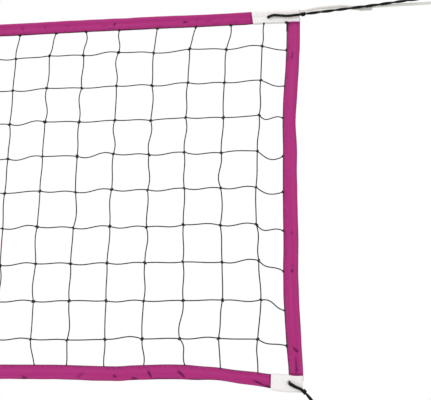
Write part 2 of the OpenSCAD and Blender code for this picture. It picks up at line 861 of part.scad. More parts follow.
module winch_drum() {
    color(zinc) at_winch() {
        rod_y(shaft_r, -crank_y - crank_t - 2, 49);
        rod_y(drum_core_r, -drum_half, drum_half);
        for (s = [-1, 1]) translate([0, s * (drum_half + 1.5), 0]) rod_y(flange_out_r, -1.5, 1.5);
        rod_y(12, 45, 49);
        rotate([90, 0, 0]) translate([0, 0, crank_y + crank_t + 0.1]) cylinder(r = 12, h = 7, $fn = 6);
    }
}

module winch_ratchet() {
    color(base_grey) at_winch() across_net(ratchet_y, ratchet_y + ratchet_t) difference() {
        polygon(ratchet_outline);
        circle(shaft_r - 0.1);
    }
}

module crank_arm() {
    color(base_grey) at_winch() {
        across_net(-crank_y - crank_t, -crank_y) difference() {
            union() {
                circle(15);
                translate([-11, -crank_len]) square([22, crank_len]);
                translate([0, -crank_len]) circle(13);
            }
            circle(shaft_r - 0.1);
        }
        translate([0, 0, -crank_len]) {
            rod_y(grip_pin_r, -grip_end - 6, -crank_y - 2);
            rod_y(9, -grip_end - 6, -grip_end - 2);
        }
    }
}

module crank_grip() {
    color(knob_black) at_winch() translate([0, 0, -crank_len]) rotate([90, 0, 0]) rotate_extrude()
        polygon([
            [grip_pin_r + run_gap, grip_start],
            [grip_r - 3, grip_start],
            [grip_r - 1, grip_start + 4],
            [grip_r, (grip_start + grip_end) / 2],
            [grip_r - 1, grip_end - 4],
            [grip_r - 3, grip_end],
            [grip_pin_r + run_gap, grip_end]
        ]);
}

// Let down, the pawl drops behind a tooth and stops the drum from paying out.
module pawl() {
    color(zinc) at_winch() {
        across_net(ratchet_y, ratchet_y + ratchet_t) difference() {
            union() {
                translate(pawl_pivot) rotate(-pawl_hold)
                    polygon([[-31.8, -14.2], [-22, -10.4], [0, -7], [0, 7], [-12, 4], [-31.8, -6.5]]);
                translate(pawl_pivot) circle(7);
            }
            translate(pawl_pivot) circle(4 + run_gap);
        }
    }
}

net_mesh();
top_tape();
bottom_tape();
side_tape(-1);  // left_side_tape
side_tape(1);  // right_side_tape
top_patch(-1);  // top_left_patch
top_patch(1);  // top_right_patch
bottom_patch(-1);  // bottom_left_patch
bottom_patch(1);  // bottom_right_patch
eyelets();
corner_hitches();
pole_hitches();
headline_rope();
headline_turns();
tie_rope(top_tie_route, -1);  // top_left_tie_rope
tie_rope(top_tie_route, 1);  // top_right_tie_rope
tie_rope(bottom_tie_route, -1);  // bottom_left_tie_rope
tie_rope(bottom_tie_route, 1);  // bottom_right_tie_rope
base_plate(-1);  // left_base_plate
base_plate(1);  // right_base_plate
feet(-1);  // left_feet
feet(1);  // right_feet
ballast(-1);  // left_ballast
ballast(1);  // right_ballast
ballast_bolts(-1);  // left_ballast_bolts
ballast_bolts(1);  // right_ballast_bolts
sleeve(-1);  // left_sleeve
sleeve(1);  // right_sleeve
sleeve_bolts(-1);  // left_sleeve_bolts
sleeve_bolts(1);  // right_sleeve_bolts
bushes(-1);  // left_bushes
bushes(1);  // right_bushes
clamp_collar(-1);  // left_clamp_collar
clamp_collar(1);  // right_clamp_collar
clamp_knob(-1);  // left_clamp_knob
clamp_knob(1);  // right_clamp_knob
mast(-1);  // left_mast
mast(1);  // right_mast
head_fork(-1, eye_pin);  // left_head_fork
head_fork(1, pulley_pin);  // right_head_fork
pins(-1, eye_pin);  // left_pins
winch_pole_pins();  // right_pins
rope_bracket(-1);  // left_rope_bracket
rope_bracket(1);  // right_rope_bracket
wheel_bracket(-1);  // left_wheel_bracket
wheel_bracket(1);  // right_wheel_bracket
axle(-1);  // left_axle
axle(1);  // right_axle
wheel(-1, -wheel_y);  // left_front_wheel
wheel(-1, wheel_y);  // left_back_wheel
wheel(1, -wheel_y);  // right_front_wheel
wheel(1, wheel_y);  // right_back_wheel
head_pulley();
winch_frame();
winch_u_bolts();
winch_drum();
winch_ratchet();
crank_arm();
crank_grip();
pawl();
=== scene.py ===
"""A volleyball net on two poles: its mesh, tapes, ropes and poles, dressed round the packed model."""

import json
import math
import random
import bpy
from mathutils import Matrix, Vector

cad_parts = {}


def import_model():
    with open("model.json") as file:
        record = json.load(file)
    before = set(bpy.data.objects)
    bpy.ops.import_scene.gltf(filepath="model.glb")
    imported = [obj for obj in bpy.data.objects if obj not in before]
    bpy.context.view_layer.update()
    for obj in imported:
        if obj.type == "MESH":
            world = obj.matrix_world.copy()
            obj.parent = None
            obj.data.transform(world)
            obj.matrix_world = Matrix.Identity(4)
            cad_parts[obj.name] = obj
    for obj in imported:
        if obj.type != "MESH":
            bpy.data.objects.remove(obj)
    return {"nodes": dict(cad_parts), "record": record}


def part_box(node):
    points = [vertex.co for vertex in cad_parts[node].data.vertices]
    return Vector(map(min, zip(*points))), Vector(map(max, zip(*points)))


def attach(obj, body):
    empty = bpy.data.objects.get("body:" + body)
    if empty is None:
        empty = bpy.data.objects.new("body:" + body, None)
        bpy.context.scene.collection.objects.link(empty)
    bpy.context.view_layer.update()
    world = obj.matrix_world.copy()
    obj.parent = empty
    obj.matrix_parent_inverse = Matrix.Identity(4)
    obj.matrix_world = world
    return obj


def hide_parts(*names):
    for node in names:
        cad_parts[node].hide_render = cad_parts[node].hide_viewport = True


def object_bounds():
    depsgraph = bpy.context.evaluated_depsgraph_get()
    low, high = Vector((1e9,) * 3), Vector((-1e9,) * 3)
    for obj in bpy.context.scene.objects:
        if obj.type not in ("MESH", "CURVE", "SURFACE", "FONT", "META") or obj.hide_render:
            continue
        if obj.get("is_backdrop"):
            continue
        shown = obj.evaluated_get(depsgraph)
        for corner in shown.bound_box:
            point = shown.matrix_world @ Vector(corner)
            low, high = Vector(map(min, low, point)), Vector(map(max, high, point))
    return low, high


bl_info = {
    "name": "Volleyball net on two poles",
    "version": (1, 0, 0),
    "blender": (4, 5, 0),
    "location": "3D View > Sidebar > Volleyball net",
    "description": "Knots the net, sews its tapes, reeves its ropes and finishes its poles",
    "category": "Object",
}

from bisect import bisect_right
from functools import lru_cache
from itertools import accumulate

import bmesh
import bpy
from bpy.props import FloatProperty, FloatVectorProperty, IntProperty, PointerProperty
from mathutils import Matrix, Vector, noise

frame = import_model()
CAD_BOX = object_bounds()

MM = 0.001
RIGHT, LEFT = 1, -1
SIDE_NAMES = {LEFT: "left", RIGHT: "right"}
NET_BODY = "right_mast"


# ---- Places read from the frame ----

TOP_LOW, TOP_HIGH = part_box("top_tape")
BOTTOM_LOW, BOTTOM_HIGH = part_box("bottom_tape")
SIDE_LOW, SIDE_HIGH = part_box("right_side_tape")
PATCH_LOW, PATCH_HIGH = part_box("top_right_patch")
LOW_PATCH_LOW, LOW_PATCH_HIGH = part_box("bottom_right_patch")
PULLEY_LOW, PULLEY_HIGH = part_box("head_pulley")
PULLEY = (PULLEY_LOW + PULLEY_HIGH) / 2

# The top tape and the hem at its upper edge. The cloth stands a little prouder than the packed tapes,
# as sewn cloth does, and swells towards the hem over HEM_RISE.
HALF_TAPE = 0.002
CLOTH_SPARE = 0.0009
HEM_R = 0.0052
HEM_Z = TOP_HIGH.z - HEM_R
HEM_CLOTH_R = 0.0059
HEM_RISE = 0.016
TOP_EDGE = TOP_LOW.z - CLOTH_SPARE
TOP_FACE = TOP_HIGH.z + CLOTH_SPARE - TOP_EDGE
# Its dip between the corner patches, and where the dip starts and ends, from the middle.
TOP_DIP = 0.0010
DIP_START, DIP_END = 4.33, 4.57
# The bottom tape drops towards its ends, over DROP_RUN.
CORNER_DROP = 0.025
DROP_START = 4.45
DROP_RUN = 0.28
BOTTOM_PACKED = BOTTOM_HIGH.z - BOTTOM_LOW.z - CORNER_DROP
BOTTOM_MID = BOTTOM_HIGH.z - BOTTOM_PACKED / 2
BOTTOM_FACE = BOTTOM_PACKED + 0.0014
# The long tapes wave between their ends, up to about here.
WAVES_END = 4.1
TOP_WAVE, BOTTOM_WAVE = 0.0012, 0.0024
# The side tapes' width, how far the net's ends are drawn in at half height, and where the net ends.
SIDE_W = 0.036
SIDE_BOW = 0.012
NET_EDGE = 4.7165
# Distance of the seams from a tape's near edge, which faces the net: the top tape's, and the others'.
TOP_SEAMS = (0.004, 0.019)
SEAMS = (0.004, 0.032)
# How much of a side tape's end lies under a patch. The painted shadow of the patch's edge lies there.
END_COVER = 0.0155
# How far the bottom tape rides up from its smooth line: (metres from the middle, millimetres).
BOTTOM_LIFTS = (
    (4.10, 0), (4.20, -2.5), (4.270, -3.6), (4.301, -1.2), (4.332, 0), (4.394, 1.8), (4.440, 1.1),
    (4.479, 0), (4.5245, 1.9), (4.5725, 0.8), (4.623, 2.2), (4.653, 1.0), (4.683, 0),
)
# Inner and outer edge of a side tape, in metres from the middle, at heights from the bottom up.
SIDE_EDGES = (
    (1.453, 4.705, 4.740), (1.507, 4.7005, 4.737), (1.557, 4.697, 4.7345), (1.618, 4.693, 4.731),
    (1.700, 4.691, 4.7285), (1.784, 4.692, 4.729), (1.880, 4.690, 4.727), (1.960, 4.6895, 4.7255),
    (2.043, 4.690, 4.7255), (2.110, 4.6885, 4.7222), (2.178, 4.6905, 4.726), (2.247, 4.695, 4.730),
    (2.317, 4.6985, 4.7335), (2.388, 4.6995, 4.7345),
)
# How much narrower the bottom tape is where its lower edge rolls under, in millimetres.
BOTTOM_PINCHES = (
    (4.450, 0), (4.489, 3.6), (4.541, 5.8), (4.589, 4.0), (4.640, 3.2), (4.660, 1.8), (4.680, 0),
)
# The patches: how far their leaves reach past the tape's near and far edges, their seams' distance from
# the near edge, and how far their inner edge leans from one edge of the tape to the other.
TOP_LIPS, BOTTOM_LIPS = (0.0026, 0.0), (0.0036, 0.0034)
TOP_PATCH_SEAMS, BOTTOM_PATCH_SEAMS = (-0.0012, 0.019), (-0.0018, 0.0380)
TOP_PATCH_LEAN, BOTTOM_PATCH_LEAN = 0.0045, 0.0008
# The stitches across a patch are shorter by this share. They keep these distances from its ends.
SHORT_STITCH = 0.75
INNER_MARGIN, OUTER_MARGIN = 0.003, 0.0035
# How far the vinyl's inner and outer side stand off a tape, and a stitch off what it holds.
VINYL_IN, VINYL_OUT = 0.0001, 0.0009
TAPE_STITCH, VINYL_STITCH = 0.0003, 0.0002

# The headline's bends round the pulley and the drum. TURN_LEAD is the straight length above and below
# its turns. EYE is the middle of its eye, on the left pole's pin.
PULLEY_ROPE_R = 0.0345
DRUM_ROPE_R = 0.0243
WINCH_Z = 1.2
DRUM_TURNS = 3
TURN_PITCH = 0.0085
TURN_LEAD = 0.008
EYE = Vector((-5.242, 0, 2.438))
EYE_LOOP_R = 0.0104
# Its short end below the eye and its long part above: places along the net from the eye, and height.
EYE_TAIL_XS, EYE_TAIL_Z = (0.150, 0.06), 2.4276
EYE_TOP_XS, EYE_TOP_Z = (0.068, 0.160), 2.4362
# Where its bindings lie, from the eye. They are of thread, wound in close turns.
EYE_BINDINGS = (0.092, 0.130)
THREAD_R = 0.0007
THREAD_PITCH = 0.0015
WHIPPING_TURNS = 12
# The headline from the hem's mouth to the head pulley, in millimetres.
HEADLINE_RUN = (
    (4735.5, 0, 2429.4), (4745.5, 0, 2430), (4755, 0, 2432), (4784, 0, 2437), (4803, 0, 2438),
    (4822, 0, 2438.7), (4850, 0, 2439.2), (4870, 0, 2436.6), (4884, 0, 2434.6), (4960, 0, 2434.4),
    (5080, 0, 2435.8), (5200, 0, 2437.6),
)
# A thinner white rope that leaves the hem below the headline, and the bindings that hold it there.
HEADLINE_TAIL = (
    (4727, -1, 2425.8), (4736, -1.6, 2425.3), (4746, -2, 2425.2), (4762, -2, 2425.2),
    (4784, -2, 2427.9), (4803, -2, 2429), (4822, -2, 2430.7), (4850, -2, 2431.4),
    (4870, -1.6, 2430), (4888, -1, 2427.6), (4906, -0.6, 2427.2), (4930, -0.4, 2427.0),
)
TAIL_BINDINGS = (4.902, 4.918)

# Routes of the right-hand tie ropes, in millimetres, and the pins on the pole that they end at, in
# metres. The left ones mirror them.
TIE_PIN = (5.212, 2.459)
BRACKET_PIN = (5.185, 0.860)
PIN_LOOP_R = 0.0072
TOP_TIE_ROUTE = (
    (4747, -9, 2416.7), (4765, -9, 2418.6), (4803, -9, 2421.5), (4837, -9, 2424.6),
    (4866, -9, 2427.2), (4895, -9, 2429.8), (4985, -9, 2438.4), (5075, -9, 2447.2),
    (5132, -9, 2452.7), (5184, -9, 2457.5),
)
BOTTOM_TIE_ROUTE = (
    (4745, -9, 1402.5), (4760, -9, 1385), (4803, -8, 1331), (4889, -7, 1222),
    (4974, -5, 1114), (5058, -3, 1011), (5114, -1, 944), (5169, 0, 879),
)
# Each corner's strand from its eyelet to its knot, in millimetres: the eyelet first, the knot last.
TOP_STRAND = (
    (4647, 0, 2416.6), (4647, -5.4, 2415.4), (4650, -8.6, 2414.4), (4662, -8.8, 2418.2),
    (4680.6, -8.8, 2416.6), (4702.5, -8.8, 2414.3), (4721.6, -8.8, 2415.7), (4743, -9, 2416.4),
)
BOTTOM_STRAND = (
    (4705.5, 0, 1427), (4705.5, -5.4, 1426), (4708.5, -8.4, 1423.2), (4720, -8.8, 1416.7),
    (4732.8, -8.8, 1411.2), (4742.9, -9, 1405),
)
# Half of the distance between a doubled strand's two cords, at the eyelet and at the knot.
TOP_SPREAD = (0.0015, 0.0012)
BOTTOM_SPREAD = (0.0028, 0.0014)
# A tie rope is two cords laid round each other: half of their distance, and the length of a full turn.
TWIST_SPREAD = 0.0018
TWIST_PITCH = 0.078
# A tie rope's inner end behind the net, from its tip to the eyelet, and its stopper knot there.
INNER_END = (0.0125, 0.008, 0.003)
STOPPER_AT = 0.0092
# Coils that the knots are made of: radius, turns and pitch.
FRONT_KNOT = (0.0036, 2.2, 0.0044)
STOPPER_KNOT = (0.0036, 1.8, 0.0044)
POLE_KNOT = (0.0038, 1.8, 0.0046)
LASHING_COIL = (0.0026, 2.5, 0.0032)
# Distance between the rings of a knotted cord, and steps in one turn of a coil.
KNOT_STEP = 0.0012
TURN_STEPS = 16
# The skin of each cord: points round it, strands, and depth of its braid.
HEADLINE_BRAID = (32, 5, 0.10)
TAIL_BRAID = (24, 4, 0.10)
PAIR_BRAID = (28, 6, 0.10)
CORD_BRAID = (20, 4, 0.10)
PLAIN_TWINE = (10, 1, 0)
PLAIN_THREAD = (8, 1, 0)


# ---- What a user would change ----


def colour_prop(name, description, rgb):
    return FloatVectorProperty(
        name=name, description=description, subtype="COLOR", size=3, min=0, max=1, default=rgb
    )


def length_prop(name, description, metres):
    return FloatProperty(name=name, description=description, unit="LENGTH", min=0, default=metres)


def angle_prop(name, description, degrees):
    return FloatProperty(
        name=name, description=description, unit="ROTATION", default=math.radians(degrees)
    )


class NetSettings(bpy.types.PropertyGroup):
    """The knotted mesh."""

    columns: IntProperty(name="Columns", description="Upright twines from end to end", default=94)
    rows: IntProperty(name="Rows", description="Level twines between the tapes", default=9)
    first_row: length_prop("First row", "Height of the highest level twine", 2.330)
    mesh: length_prop("Mesh", "Height of one mesh", 0.0994)
    half_width: length_prop("Half width", "From the middle to the outermost upright twine", 4.627)
    twine: length_prop("Twine", "Thickness of the twine", 0.0031)
    border: length_prop("Border twine", "Thickness of the twine along the tapes", 0.0020)
    slack: length_prop("Slack", "How far a twine bows between its knots", 0.0036)
    colour: colour_prop("Twine colour", "Colour of the twine", (0.024, 0.022, 0.021))


class TapeSettings(bpy.types.PropertyGroup):
    """The sewn tapes and the corner patches."""

    colour: colour_prop("Tape colour", "Colour of the woven tape", (0.460, 0.0185, 0.204))
    # Painted shade: the colour mixed into the tapes in their creases and puckers, along their edges and
    # where the patches shadow them.
    painted_shade_colour: colour_prop("Fold colour", "Colour down in a crease", (0.110, 0.000, 0.058))
    vinyl: colour_prop("Vinyl colour", "Colour of the corner patches", (0.935, 0.905, 0.905))
    stitch: length_prop("Stitch", "Length of one stitch", 0.006)
    step: length_prop("Step", "Distance between the cloth's cross rows", 0.004)


class RopeSettings(bpy.types.PropertyGroup):
    """The headline and the tie ropes."""

    headline: length_prop("Headline", "Diameter of the headline", 0.008)
    tail: length_prop("Thin rope", "Diameter of the rope under the headline", 0.0056)
    tie: length_prop("Tie rope", "Diameter of a tie rope's two cords together", 0.0060)
    cord: length_prop("Tie cord", "Diameter of one cord of a tie rope", 0.0044)
    headline_colour: colour_prop("Headline colour", "Colour of the headline", (0.92, 0.90, 0.865))
    tie_colour: colour_prop("Tie rope colour", "Colour of the tie ropes", (0.012, 0.012, 0.013))
    step: length_prop("Step", "Distance between a rope's cross rings", 0.0015)


class PoleSettings(bpy.types.PropertyGroup):
    """The finishes of the poles and their bases."""

    mast: colour_prop("Mast", "Anodised aluminium", (0.66, 0.67, 0.68))
    paint: colour_prop("Paint", "Powder coat of the steel parts", (0.045, 0.052, 0.062))
    casting: colour_prop("Casting", "Black castings", (0.020, 0.020, 0.022))
    zinc: colour_prop("Zinc", "Zinc-plated fasteners", (0.56, 0.57, 0.57))
    rubber: colour_prop("Rubber", "Feet and tyres", (0.018, 0.018, 0.019))
    nylon: colour_prop("Nylon", "Bushes, pulley and hubs", (0.72, 0.70, 0.62))
    plastic: colour_prop("Plastic", "Knobs and the crank's grip", (0.015, 0.015, 0.016))
    nickel: colour_prop("Nickel", "The eyelets", (0.68, 0.66, 0.60))


class StageSettings(bpy.types.PropertyGroup):
    """The camera, the lights and the floor."""

    lens: FloatProperty(name="Lens", description="Focal length", unit="CAMERA", default=83.53)
    place: FloatVectorProperty(
        name="Camera", description="Where the camera stands", unit="LENGTH", size=3,
        default=(4.907, -2.504, 1.205),
    )
    yaw: angle_prop("Yaw", "Turn to the left", 8.98)
    pitch: angle_prop("Pitch", "Tilt upwards", 15.33)
    roll: angle_prop("Roll", "Turn about the view", 1.17)
    sky: FloatProperty(name="Sky", description="Strength of the white surround", default=1.0)
    floor: colour_prop("Floor", "Colour of the floor", (0.80, 0.80, 0.79))


GROUPS = {
    "net_settings": NetSettings,
    "tape_settings": TapeSettings,
    "rope_settings": RopeSettings,
    "pole_settings": PoleSettings,
    "stage_settings": StageSettings,
}


def settings(name):
    return getattr(bpy.context.scene, name)


# ---- Materials ----


def is_socket(value):
    return isinstance(value, bpy.types.NodeSocket)


class Finish:
    """A material in the making: its shader, and short calls for the nodes that feed it."""

    def __init__(self, name, colour, roughness, **sockets):
        self.material = bpy.data.materials.new(name)
        self.material.use_nodes = True
        self.material.diffuse_color = (*colour, 1)
        self.tree = self.material.node_tree
        self.shader = self.tree.nodes["Principled BSDF"]
        self.colour = colour
        sockets |= {"Base_Color": (*colour, 1), "Roughness": roughness}
        for socket, value in sockets.items():
            self.shader.inputs[socket.replace("_", " ")].default_value = value

    def add(self, kind, inputs, output=0, **options):
        """A node of that kind with those options and inputs; gives its output."""
        node = self.tree.nodes.new("ShaderNode" + kind)
        for option, value in options.items():
            setattr(node, option, value)
        for socket, value in inputs.items():
            if is_socket(value):
                self.tree.links.new(value, node.inputs[socket])
            else:
                node.inputs[socket].default_value = value
        return node.outputs[output]

    def place(self, stretch=(1, 1, 1), along=False):
        """The pattern's coordinates: the piece's own UV map, which runs along it, or its object's."""
        source = self.add("UVMap", {}, uv_map="UVMap") if along else self.add("TexCoord", {}, "Object")
        return self.add("Mapping", {"Vector": source, "Scale": stretch})

    def noise(self, scale, detail, roughness=0.5, stretch=(1, 1, 1), along=False):
        inputs = {"Scale": scale, "Detail": detail, "Roughness": roughness}
        return self.add("TexNoise", inputs | {"Vector": self.place(stretch, along)}, "Fac")

    def wave(self, scale, direction, distortion=0.0):
        """Fine bands on the piece's own UV map."""
        inputs = {"Vector": self.place(along=True), "Scale": scale, "Distortion": distortion}
        return self.add("TexWave", inputs, "Fac", bands_direction=direction)

    def attribute(self, name):
        return self.add("Attribute", {}, "Fac", attribute_name=name)

    def span(self, value, low, high, to_low, to_high):
        """The value, taken from one range to another and held inside it."""
        inputs = {"Value": value, "From Min": low, "From Max": high, "To Min": to_low, "To Max": to_high}
        return self.add("MapRange", inputs)

    def math(self, operation, first, second):
        return self.add("Math", {0: first, 1: second}, operation=operation)

    def mixed(self, share, first, second):
        """A colour between two others."""
        first, second = (value if is_socket(value) else (*value, 1) for value in (first, second))
        return self.add("Mix", {"Factor": share, 6: first, 7: second}, 2, data_type="RGBA")

    def blend(self, value, low, high, first, second, most=1):
        """A colour that goes from the first to the second while the value goes from low to high."""
        return self.mixed(self.span(value, low, high, 0, most), first, second)

    def shade(self, factor):
        return tuple(channel * factor for channel in self.colour)

    def feed(self, socket, value):
        self.tree.links.new(value, self.shader.inputs[socket])

    def done(self, colour, height, strength, distance, *gloss):
        """The material, fed with its colour, its bumps and, as a span of some value, its roughness."""
        self.feed("Base Color", colour)
        bumps = self.add("Bump", {"Height": height, "Strength": strength, "Distance": distance})
        self.feed("Normal", bumps)
        if gloss:
            self.feed("Roughness", self.span(*gloss))
        return self.material


def twine_finish(slot, colour):
    """Black twisted twine, a little dusty. Its material is named without the net's prefix."""
    finish = Finish(slot.removeprefix("net_"), colour, 0.8, Specular_IOR_Level=0.15)
    dusty = finish.blend(finish.noise(45, 4), 0.4, 0.75, finish.shade(0.8), finish.shade(2.6))
    return finish.done(dusty, finish.wave(900, "DIAGONAL"), 0.6, 0.0004)


def tape_finish(slot, colour, painted_shade_colour):
    """Woven polyester tape: warp and weft, lengthwise streaks, and painted shade in its folds and along its
    seams.
    """
    sheen = {"Sheen_Weight": 0.03, "Sheen_Roughness": 0.4}
    finish = Finish(slot, colour, 0.7, Specular_IOR_Level=0.18, **sheen)
    weave = finish.math("MULTIPLY", finish.wave(700, "Y", 0.6), finish.wave(480, "X", 0.6))
    streaks = finish.span(finish.noise(1, 3, 0.5, (3, 420, 1), True), 0.3, 0.7, 0, 0.35)
    bands = finish.span(finish.noise(1, 2, 0.5, (2.5, 95, 1), True), 0.35, 0.65, 0, 0.4)
    clouds = finish.noise(9, 3)
    tone = finish.math("ADD", finish.math("ADD", streaks, bands), finish.span(clouds, 0.3, 0.7, 0, 0.25))
    faded = tuple(min(1, channel * 1.05 + 0.024) for channel in colour)
    cloth = finish.mixed(tone, finish.shade(0.88), faded)
    woven = finish.blend(weave, 0, 1, cloth, finish.shade(0.55), most=0.22)
    # Painted shade: the tape's colour darkened where its layer asks for it.
    with_painted_shade = finish.mixed(finish.attribute("painted_shade"), woven, painted_shade_colour)
    return finish.done(with_painted_shade, weave, 0.35, 0.0003, clouds, 0.3, 0.7, 0.55, 0.70)


def thread_finish(slot, colour):
    """Sewing thread."""
    finish = Finish(slot, colour, 0.5, Sheen_Weight=0.3)
    fibres = finish.noise(1500, 2)
    return finish.done(finish.mixed(fibres, finish.shade(0.75), finish.shade(1.15)), fibres, 0.3, 0.0001)


def vinyl_finish(slot, colour):
    """White vinyl with a fine grain, greyer where hands and ropes have soiled it, and with painted shade
    along its lip.
    """
    finish = Finish(slot, colour, 0.42, Coat_Weight=0.08)
    grain = finish.add("TexVoronoi", {"Vector": finish.place(), "Scale": 900.0}, "Distance", feature="F1")
    rub = finish.noise(38, 5, 0.6)
    soiled = finish.blend(rub, 0.52, 0.8, colour, (0.74, 0.725, 0.70), most=0.4)
    # Painted shade: a grey along the patch's lip.
    with_lip_shade = finish.mixed(finish.attribute("painted_shade"), soiled, (0.40, 0.40, 0.37))
    return finish.done(with_lip_shade, grain, 0.25, 0.0003, rub, 0.3, 0.8, 0.36, 0.6)


def rope_finish(slot, colour, groove_shade):
    """Braided rope, with painted shade between its strands."""
    finish = Finish(slot, colour, 0.75, Specular_IOR_Level=0.15)
    fibres = finish.noise(1, 3, 0.5, (900, 14, 1), True)
    strand = finish.blend(finish.noise(24, 4), 0.45, 0.75, colour, finish.shade(0.72), most=0.5)
    # Painted shade: darker where the braid lies low, between its strands.
    braid = finish.blend(finish.attribute("lay"), 0.15, 0.75, groove_shade, strand)
    return finish.done(braid, fibres, 0.35, 0.0002)


def paint_finish(slot, colour):
    """Powder coat with a fine orange peel, worn to bare steel in spots along its edges."""
    finish = Finish(slot, colour, 0.42, Coat_Weight=0.15)
    wide = finish.noise(7, 4)
    chips = finish.span(finish.noise(130, 4, 0.7), 0.52, 0.60, 0, 1)
    worn = finish.math("MULTIPLY", finish.attribute("edge"), chips)
    coat = finish.blend(wide, 0.3, 0.7, finish.shade(0.85), finish.shade(1.25))
    chipped = finish.mixed(worn, coat, (0.28, 0.27, 0.26))
    finish.feed("Metallic", worn)
    return finish.done(chipped, finish.noise(520, 2), 0.18, 0.0006, wide, 0.3, 0.7, 0.36, 0.52)


def casting_finish(slot, colour):
    """Black cast metal: a sandy skin, smoother on its edges."""
    finish = Finish(slot, colour, 0.5, Specular_IOR_Level=0.45)
    wide = finish.noise(14, 4)
    patchy = finish.math("MULTIPLY", finish.attribute("edge"), finish.span(wide, 0.35, 0.65, 0, 1))
    skin = finish.blend(wide, 0.3, 0.7, finish.shade(0.8), finish.shade(1.5))
    edged = finish.mixed(patchy, skin, finish.shade(4.0))
    return finish.done(edged, finish.noise(380, 5, 0.65), 0.4, 0.0008, wide, 0.3, 0.7, 0.44, 0.62)


def mast_finish(slot, colour):
    """Anodised tube: fine drawing lines along it and faint rub marks where it slides."""
    finish = Finish(slot, colour, 0.32, Metallic=0.92)
    lines = finish.noise(1, 4, 0.5, (420, 420, 1.4))
    rubs = finish.noise(1, 5, 0.6, (60, 60, 3.0))
    tone = finish.blend(lines, 0.3, 0.7, finish.shade(0.90), finish.shade(1.08))
    patchy = finish.blend(rubs, 0.6, 0.8, tone, finish.shade(0.66), most=0.6)
    return finish.done(patchy, lines, 0.12, 0.0003, rubs, 0.3, 0.75, 0.26, 0.46)


def plated_finish(slot, colour, tint, roughness):
    """Plated metal, clouded and a little warm in places."""
    finish = Finish(slot, colour, roughness, Metallic=1.0)
    clouds = finish.noise(60, 4)
    clouded = finish.blend(clouds, 0.35, 0.7, colour, tint)
    scratches = finish.noise(1, 3, 0.5, (30, 900, 300))
    gloss = (clouds, 0.3, 0.7, roughness - 0.07, roughness + 0.12)
    return finish.done(clouded, scratches, 0.12, 0.0002, *gloss)


def rubber_finish(slot, colour, scale):
    """Dull rubber with a dusty bloom."""
    finish = Finish(slot, colour, 0.82, Specular_IOR_Level=0.3)
    bloom = finish.noise(scale, 5, 0.6)
    dusty = finish.blend(bloom, 0.42, 0.75, colour, (0.075, 0.072, 0.067))
    return finish.done(dusty, finish.noise(800, 2), 0.25, 0.0004, bloom, 0.3, 0.7, 0.74, 0.92)


def moulded_finish(slot, colour, roughness, grain):
    """Moulded plastic with a fine spark-eroded grain."""
    finish = Finish(slot, colour, roughness)
    wide = finish.noise(22, 4)
    mottled = finish.blend(wide, 0.3, 0.7, finish.shade(0.88), finish.shade(1.12))
    gloss = (wide, 0.3, 0.7, roughness - 0.06, roughness + 0.08)
    return finish.done(mottled, finish.noise(grain, 3), 0.2, 0.0003, *gloss)


def floor_finish(colour):
    """The floor under the poles."""
    finish = Finish("stage_floor", colour, 0.8)
    finish.feed("Base Color", finish.mixed(finish.noise(3, 2), finish.shade(0.985), finish.shade(1.01)))
    return finish.material


@lru_cache(maxsize=None)
def finish_for(slot):
    """The material for one of the record's slots, or for the thread that goes with it."""
    tape, rope, pole = settings("tape_settings"), settings("rope_settings"), settings("pole_settings")
    recipes = {
        "net_twine": (twine_finish, settings("net_settings").colour),
        "tape_cloth": (tape_finish, tape.colour, tape.painted_shade_colour),
        "tape_thread": (thread_finish, (0.40, 0.022, 0.19)),
        "corner_vinyl": (vinyl_finish, tape.vinyl),
        "vinyl_thread": (thread_finish, (0.70, 0.69, 0.66)),
        # Each rope's last colour is its painted shade between the strands.
        "headline_rope": (rope_finish, rope.headline_colour, (0.62, 0.605, 0.57)),
        "tie_rope": (rope_finish, rope.tie_colour, (0.003, 0.003, 0.003)),
        "base_paint": (paint_finish, pole.paint),
        "cast_black": (casting_finish, pole.casting),
        "mast_aluminium": (mast_finish, pole.mast),
        "nickel_eyelet": (plated_finish, pole.nickel, (0.52, 0.49, 0.42), 0.28),
        "zinc_steel": (plated_finish, pole.zinc, (0.52, 0.50, 0.42), 0.36),
        "foot_rubber": (rubber_finish, pole.rubber, 30),
        "wheel_rubber": (rubber_finish, pole.rubber, 55),
        "nylon": (moulded_finish, pole.nylon, 0.42, 300),
        "black_plastic": (moulded_finish, pole.plastic, 0.46, 700),
    }
    make, *values = recipes[slot]
    return make(slot, *values)


# ---- Putting pieces together ----


def linked(name, data):
    """An object for the data, in the scene."""
    item = bpy.data.objects.new(name, data)
    bpy.context.scene.collection.objects.link(item)
    return item


def put(name, mesh, body, slot, nodes=(), finish=None, smooth=35):
    """A finished piece: its mesh on an object at the origin, riding on a body."""
    piece = linked(name, mesh)
    mesh.materials.clear()
    mesh.materials.append(finish_for(finish or slot))
    mesh.polygons.foreach_set("use_smooth", [True] * len(mesh.polygons))
    mesh.set_sharp_from_angle(angle=math.radians(smooth))
    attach(piece, body)
    if nodes:
        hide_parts(*nodes)
    return piece


def dress(name, mesh, slot, nodes=(), finish=None, smooth=180):
    """A soft piece of the net, its tapes or its ropes. They all ride on the right mast."""
    return put(name, mesh, NET_BODY, slot, nodes, finish, smooth)


def mesh_of(bm, name):
    mesh = bpy.data.meshes.new(name)
    bm.to_mesh(mesh)
    bm.free()
    return mesh


def in_metres(points, side=RIGHT):
    return [Vector((side * x, y, z)) * MM for x, y, z in points]


def held(value, low=0.0, high=1.0):
    return max(low, min(high, value))


def smoothed(value):
    value = held(value)
    return value * value * (3 - 2 * value)


def bell(value, middle, breadth):
    """A smooth hump: 1 in its middle, and nearly 0 two breadths away."""
    return math.exp(-(((value - middle) / breadth) ** 2))


def wobble(*place):
    """Smooth chance at a place, between about -1 and 1."""
    return noise.noise(Vector(place))


def catmull(a, b, c, d, t):
    return 0.5 * (
        2 * b + (c - a) * t + (2 * a - 5 * b + 4 * c - d) * t * t + (3 * b - a - 3 * c + d) * t ** 3
    )


